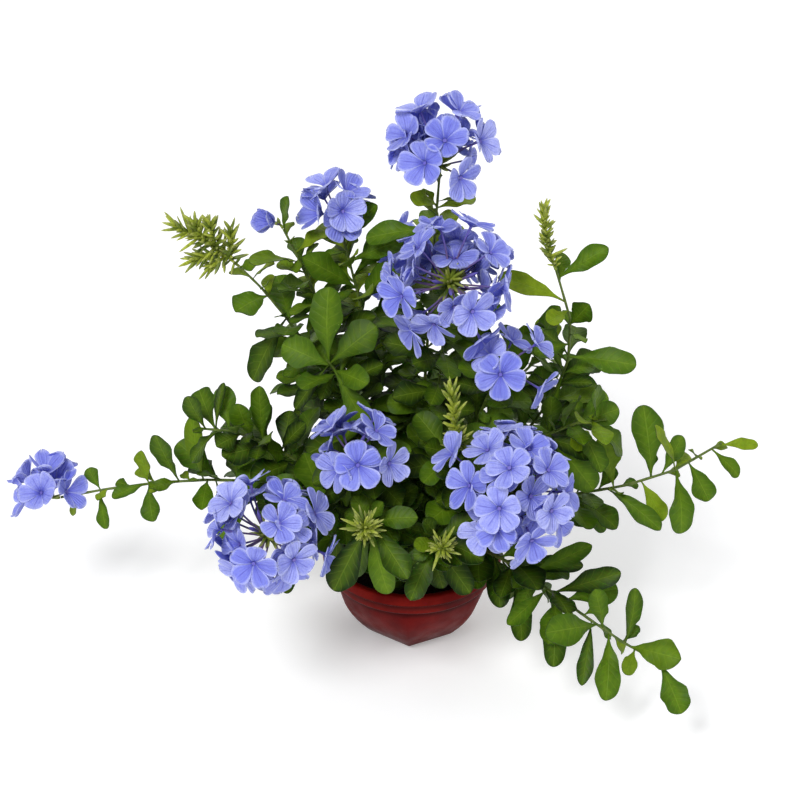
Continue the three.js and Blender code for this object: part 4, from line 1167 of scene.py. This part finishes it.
def pot_ring(radius, height, corner):
    """A ring of the pot: round where corner is 0, six-sided where it is 1."""
    angle = 2 * math.pi * np.arange(POT_STEPS) / POT_STEPS
    side = math.pi / 6
    flat = math.cos(side) / np.cos(np.mod(angle, 2 * side) - side)
    r = radius * (1 - corner + corner * flat)
    a = angle + math.radians(POT["turn"] - 90)
    return np.stack([r * np.cos(a), r * np.sin(a), np.full(POT_STEPS, float(height))], 1)


def body_ring(z, inset=0):
    return pot_ring(body_radius(z) - inset, z, body_corner(z))


def pot_profile():
    """The rings of the wall: up the outside, over the rim and down the inside."""
    rim, shoulder = POT["rim_radius"], BODY_TOP + POT["band"]
    top = shoulder + POT["lip"]
    rings = [body_ring(z, inset) for z, inset in ((0, 1.2), (0.25, 0.35), (0.9, 0))]
    rings += [body_ring(z) for z in np.linspace(3, BODY_TOP - 0.6, 9)]
    band = BAND_RADIUS
    outline = [(band - 1.4, BODY_TOP), (band - 0.5, BODY_TOP + 0.5), (band, BODY_TOP + 1.3),
               (band, shoulder - 0.6), (band + 0.3, shoulder - 0.1), (rim - 0.6, shoulder + 0.1),
               (rim - 0.1, shoulder + 0.6), (rim, shoulder + 1.3), (rim, top - 1.4), (rim - 0.3, top - 0.5),
               (rim - 1, top), (rim - 2.9, top), (rim - 3.6, top - 0.4), (rim - 4, top - 1.4)]
    rings += [pot_ring(r, z, 0) for r, z in outline]
    wall = POT["wall"]
    for z in (BODY_TOP, BODY_TOP * 0.75, BODY_TOP * 0.5, BODY_TOP * 0.25, POT["floor"] + 0.8):
        rings.append(body_ring(z, wall))
    return rings + [body_ring(POT["floor"], wall + 1)]


def drill(piece):
    """Cuts the drain holes through the pot's floor."""
    builder = Builder()
    for i in range(DRAIN["count"]):
        angle = 2 * math.pi * (i + 0.5) / DRAIN["count"]
        x, y = DRAIN["circle"] * math.cos(angle), DRAIN["circle"] * math.sin(angle)
        ends = [vec(x, y, -POT["floor"]), vec(x, y, 2 * POT["floor"])]
        builder.add_tube(ends, [DRAIN["radius"]] * 2, sides=24, along=np.zeros(2), tone=0)
    cutter = builder.object("drain_cutter", [POT_MATERIAL])
    cut = piece.modifiers.new("drains", "BOOLEAN")
    cut.operation = "DIFFERENCE"
    cut.solver = "EXACT"
    cut.object = cutter
    whole = piece.data
    piece.data = bpy.data.meshes.new_from_object(piece.evaluated_get(bpy.context.evaluated_depsgraph_get()))
    piece.modifiers.clear()
    bpy.data.meshes.remove(whole)
    bpy.data.meshes.remove(cutter.data)


def make_pot():
    rings = pot_profile()
    vertices = np.concatenate(rings + [vec(0, 0, 0)[None], vec(0, 0, POT["floor"])[None]])
    builder = Builder()
    builder.add(vertices, tube_faces(len(rings), POT_STEPS), (0, 0, 0))
    piece = builder.object("pot_shell", [POT_MATERIAL], sharp=40)
    drill(piece)
    set_growth(piece.data, [(point.co.z / (POT["height"] * MM), 0, 0) for point in piece.data.vertices])
    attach(piece, "root")
    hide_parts("pot")


SOIL_HEAP = 0.8  # millimetres that the soil rises towards the middle


def make_soil():
    """The soil's crumbly top, over a plain block that fills the pot."""
    draw = stream_of("grit")
    rings = []
    for z in (POT["floor"] + SOIL["gap"], BODY_TOP * 0.5, BODY_TOP):
        rings.append(body_ring(z, POT["wall"] + 1.6))
    outer = body_radius(BODY_TOP) - POT["wall"]
    for share in np.linspace(1, 0.06, 26):
        rings.append(pot_ring(outer * share, SOIL["level"] + SOIL_HEAP * (1 - share ** 6), 0))
    top = np.concatenate(rings[3:])
    waves = [(0.5, 0.31, 0.22, 1), (0.4, -0.43, 0.37, 2), (0.3, 0.9, -0.71, 4)]
    bumps = sum(size * np.sin(top[:, 0] * kx + top[:, 1] * ky + phase) for size, kx, ky, phase in waves)
    grit = np.array([draw() for _ in range(len(top))]) - 0.5
    top[:, 2] += bumps + 0.9 * grit
    vertices = np.concatenate(rings[:3] + [top])
    low, high = vertices[:1] * vec(0, 0, 1), vec(0, 0, SOIL["level"] + SOIL_HEAP)[None]
    builder = Builder()
    builder.add(np.concatenate([vertices, low, high]), tube_faces(len(rings), POT_STEPS), (0, 0, 0))
    piece = builder.object("soil_block", [SOIL_MATERIAL], sharp=180)
    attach(piece, "root")
    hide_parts("soil")


make_pot()
make_soil()


# The stage: a pale floor, soft light and the photograph's viewing angle.

def stage_material():
    s = Shader("pale_floor", 0.9, Specular_IOR_Level=0.1, Emission_Strength=0.25, Emission_Color=(1, 1, 1, 1))
    s.base = (0.86, 0.86, 0.87, 1)
    return s.finished()


def make_floor():
    mesh = bpy.data.meshes.new("floor")
    corners = [(-6, -6), (6, -6), (6, 6), (-6, 6)]
    mesh.from_pydata([(x, y, -0.0005) for x, y in corners], [], [(0, 1, 2, 3)])
    mesh.materials.append(stage_material())
    floor = show("floor", mesh)


def aim(item, target):
    x, y, z = np.array(target) - np.array(item.location)
    slope = math.atan2(z, math.hypot(x, y))
    item.rotation_euler = (math.pi / 2 + slope, 0, math.atan2(y, x) - math.pi / 2)


def make_light(name, location, size, power):
    data = bpy.data.lights.new(name, "AREA")
    data.size = size
    data.energy = power
    lamp = show(name, data)
    lamp.location = location
    aim(lamp, (0, 0, 0.12))


CAMERA = dict(elevation=32, distance=1.2, target=(-0.007, 0, 0.152), lens=98.2)


def make_camera():
    data = bpy.data.cameras.new("camera")
    data.lens = CAMERA["lens"]
    data.clip_end = 50
    camera = show("camera", data)
    tilt = math.radians(CAMERA["elevation"])
    x, y, z = CAMERA["target"]
    camera.location = (x, y - CAMERA["distance"] * math.cos(tilt), z + CAMERA["distance"] * math.sin(tilt))
    camera.rotation_euler = (math.pi / 2 - tilt, 0, 0)
    bpy.context.scene.camera = camera


def make_world():
    world = bpy.data.worlds.new("studio")
    world.use_nodes = True
    sky = world.node_tree.nodes["Background"]
    sky.inputs["Color"].default_value = (1, 1, 1, 1)
    sky.inputs["Strength"].default_value = 0.4
    bpy.context.scene.world = world


make_floor()
make_world()
make_light("key", (-0.7, -1.4, 1.9), 0.7, 40)
make_light("fill", (1.4, -0.9, 1.1), 1.2, 7)
make_light("back", (0.3, 1.4, 1.5), 1.2, 12)
make_camera()
bpy.context.scene.view_settings.view_transform = "Standard"
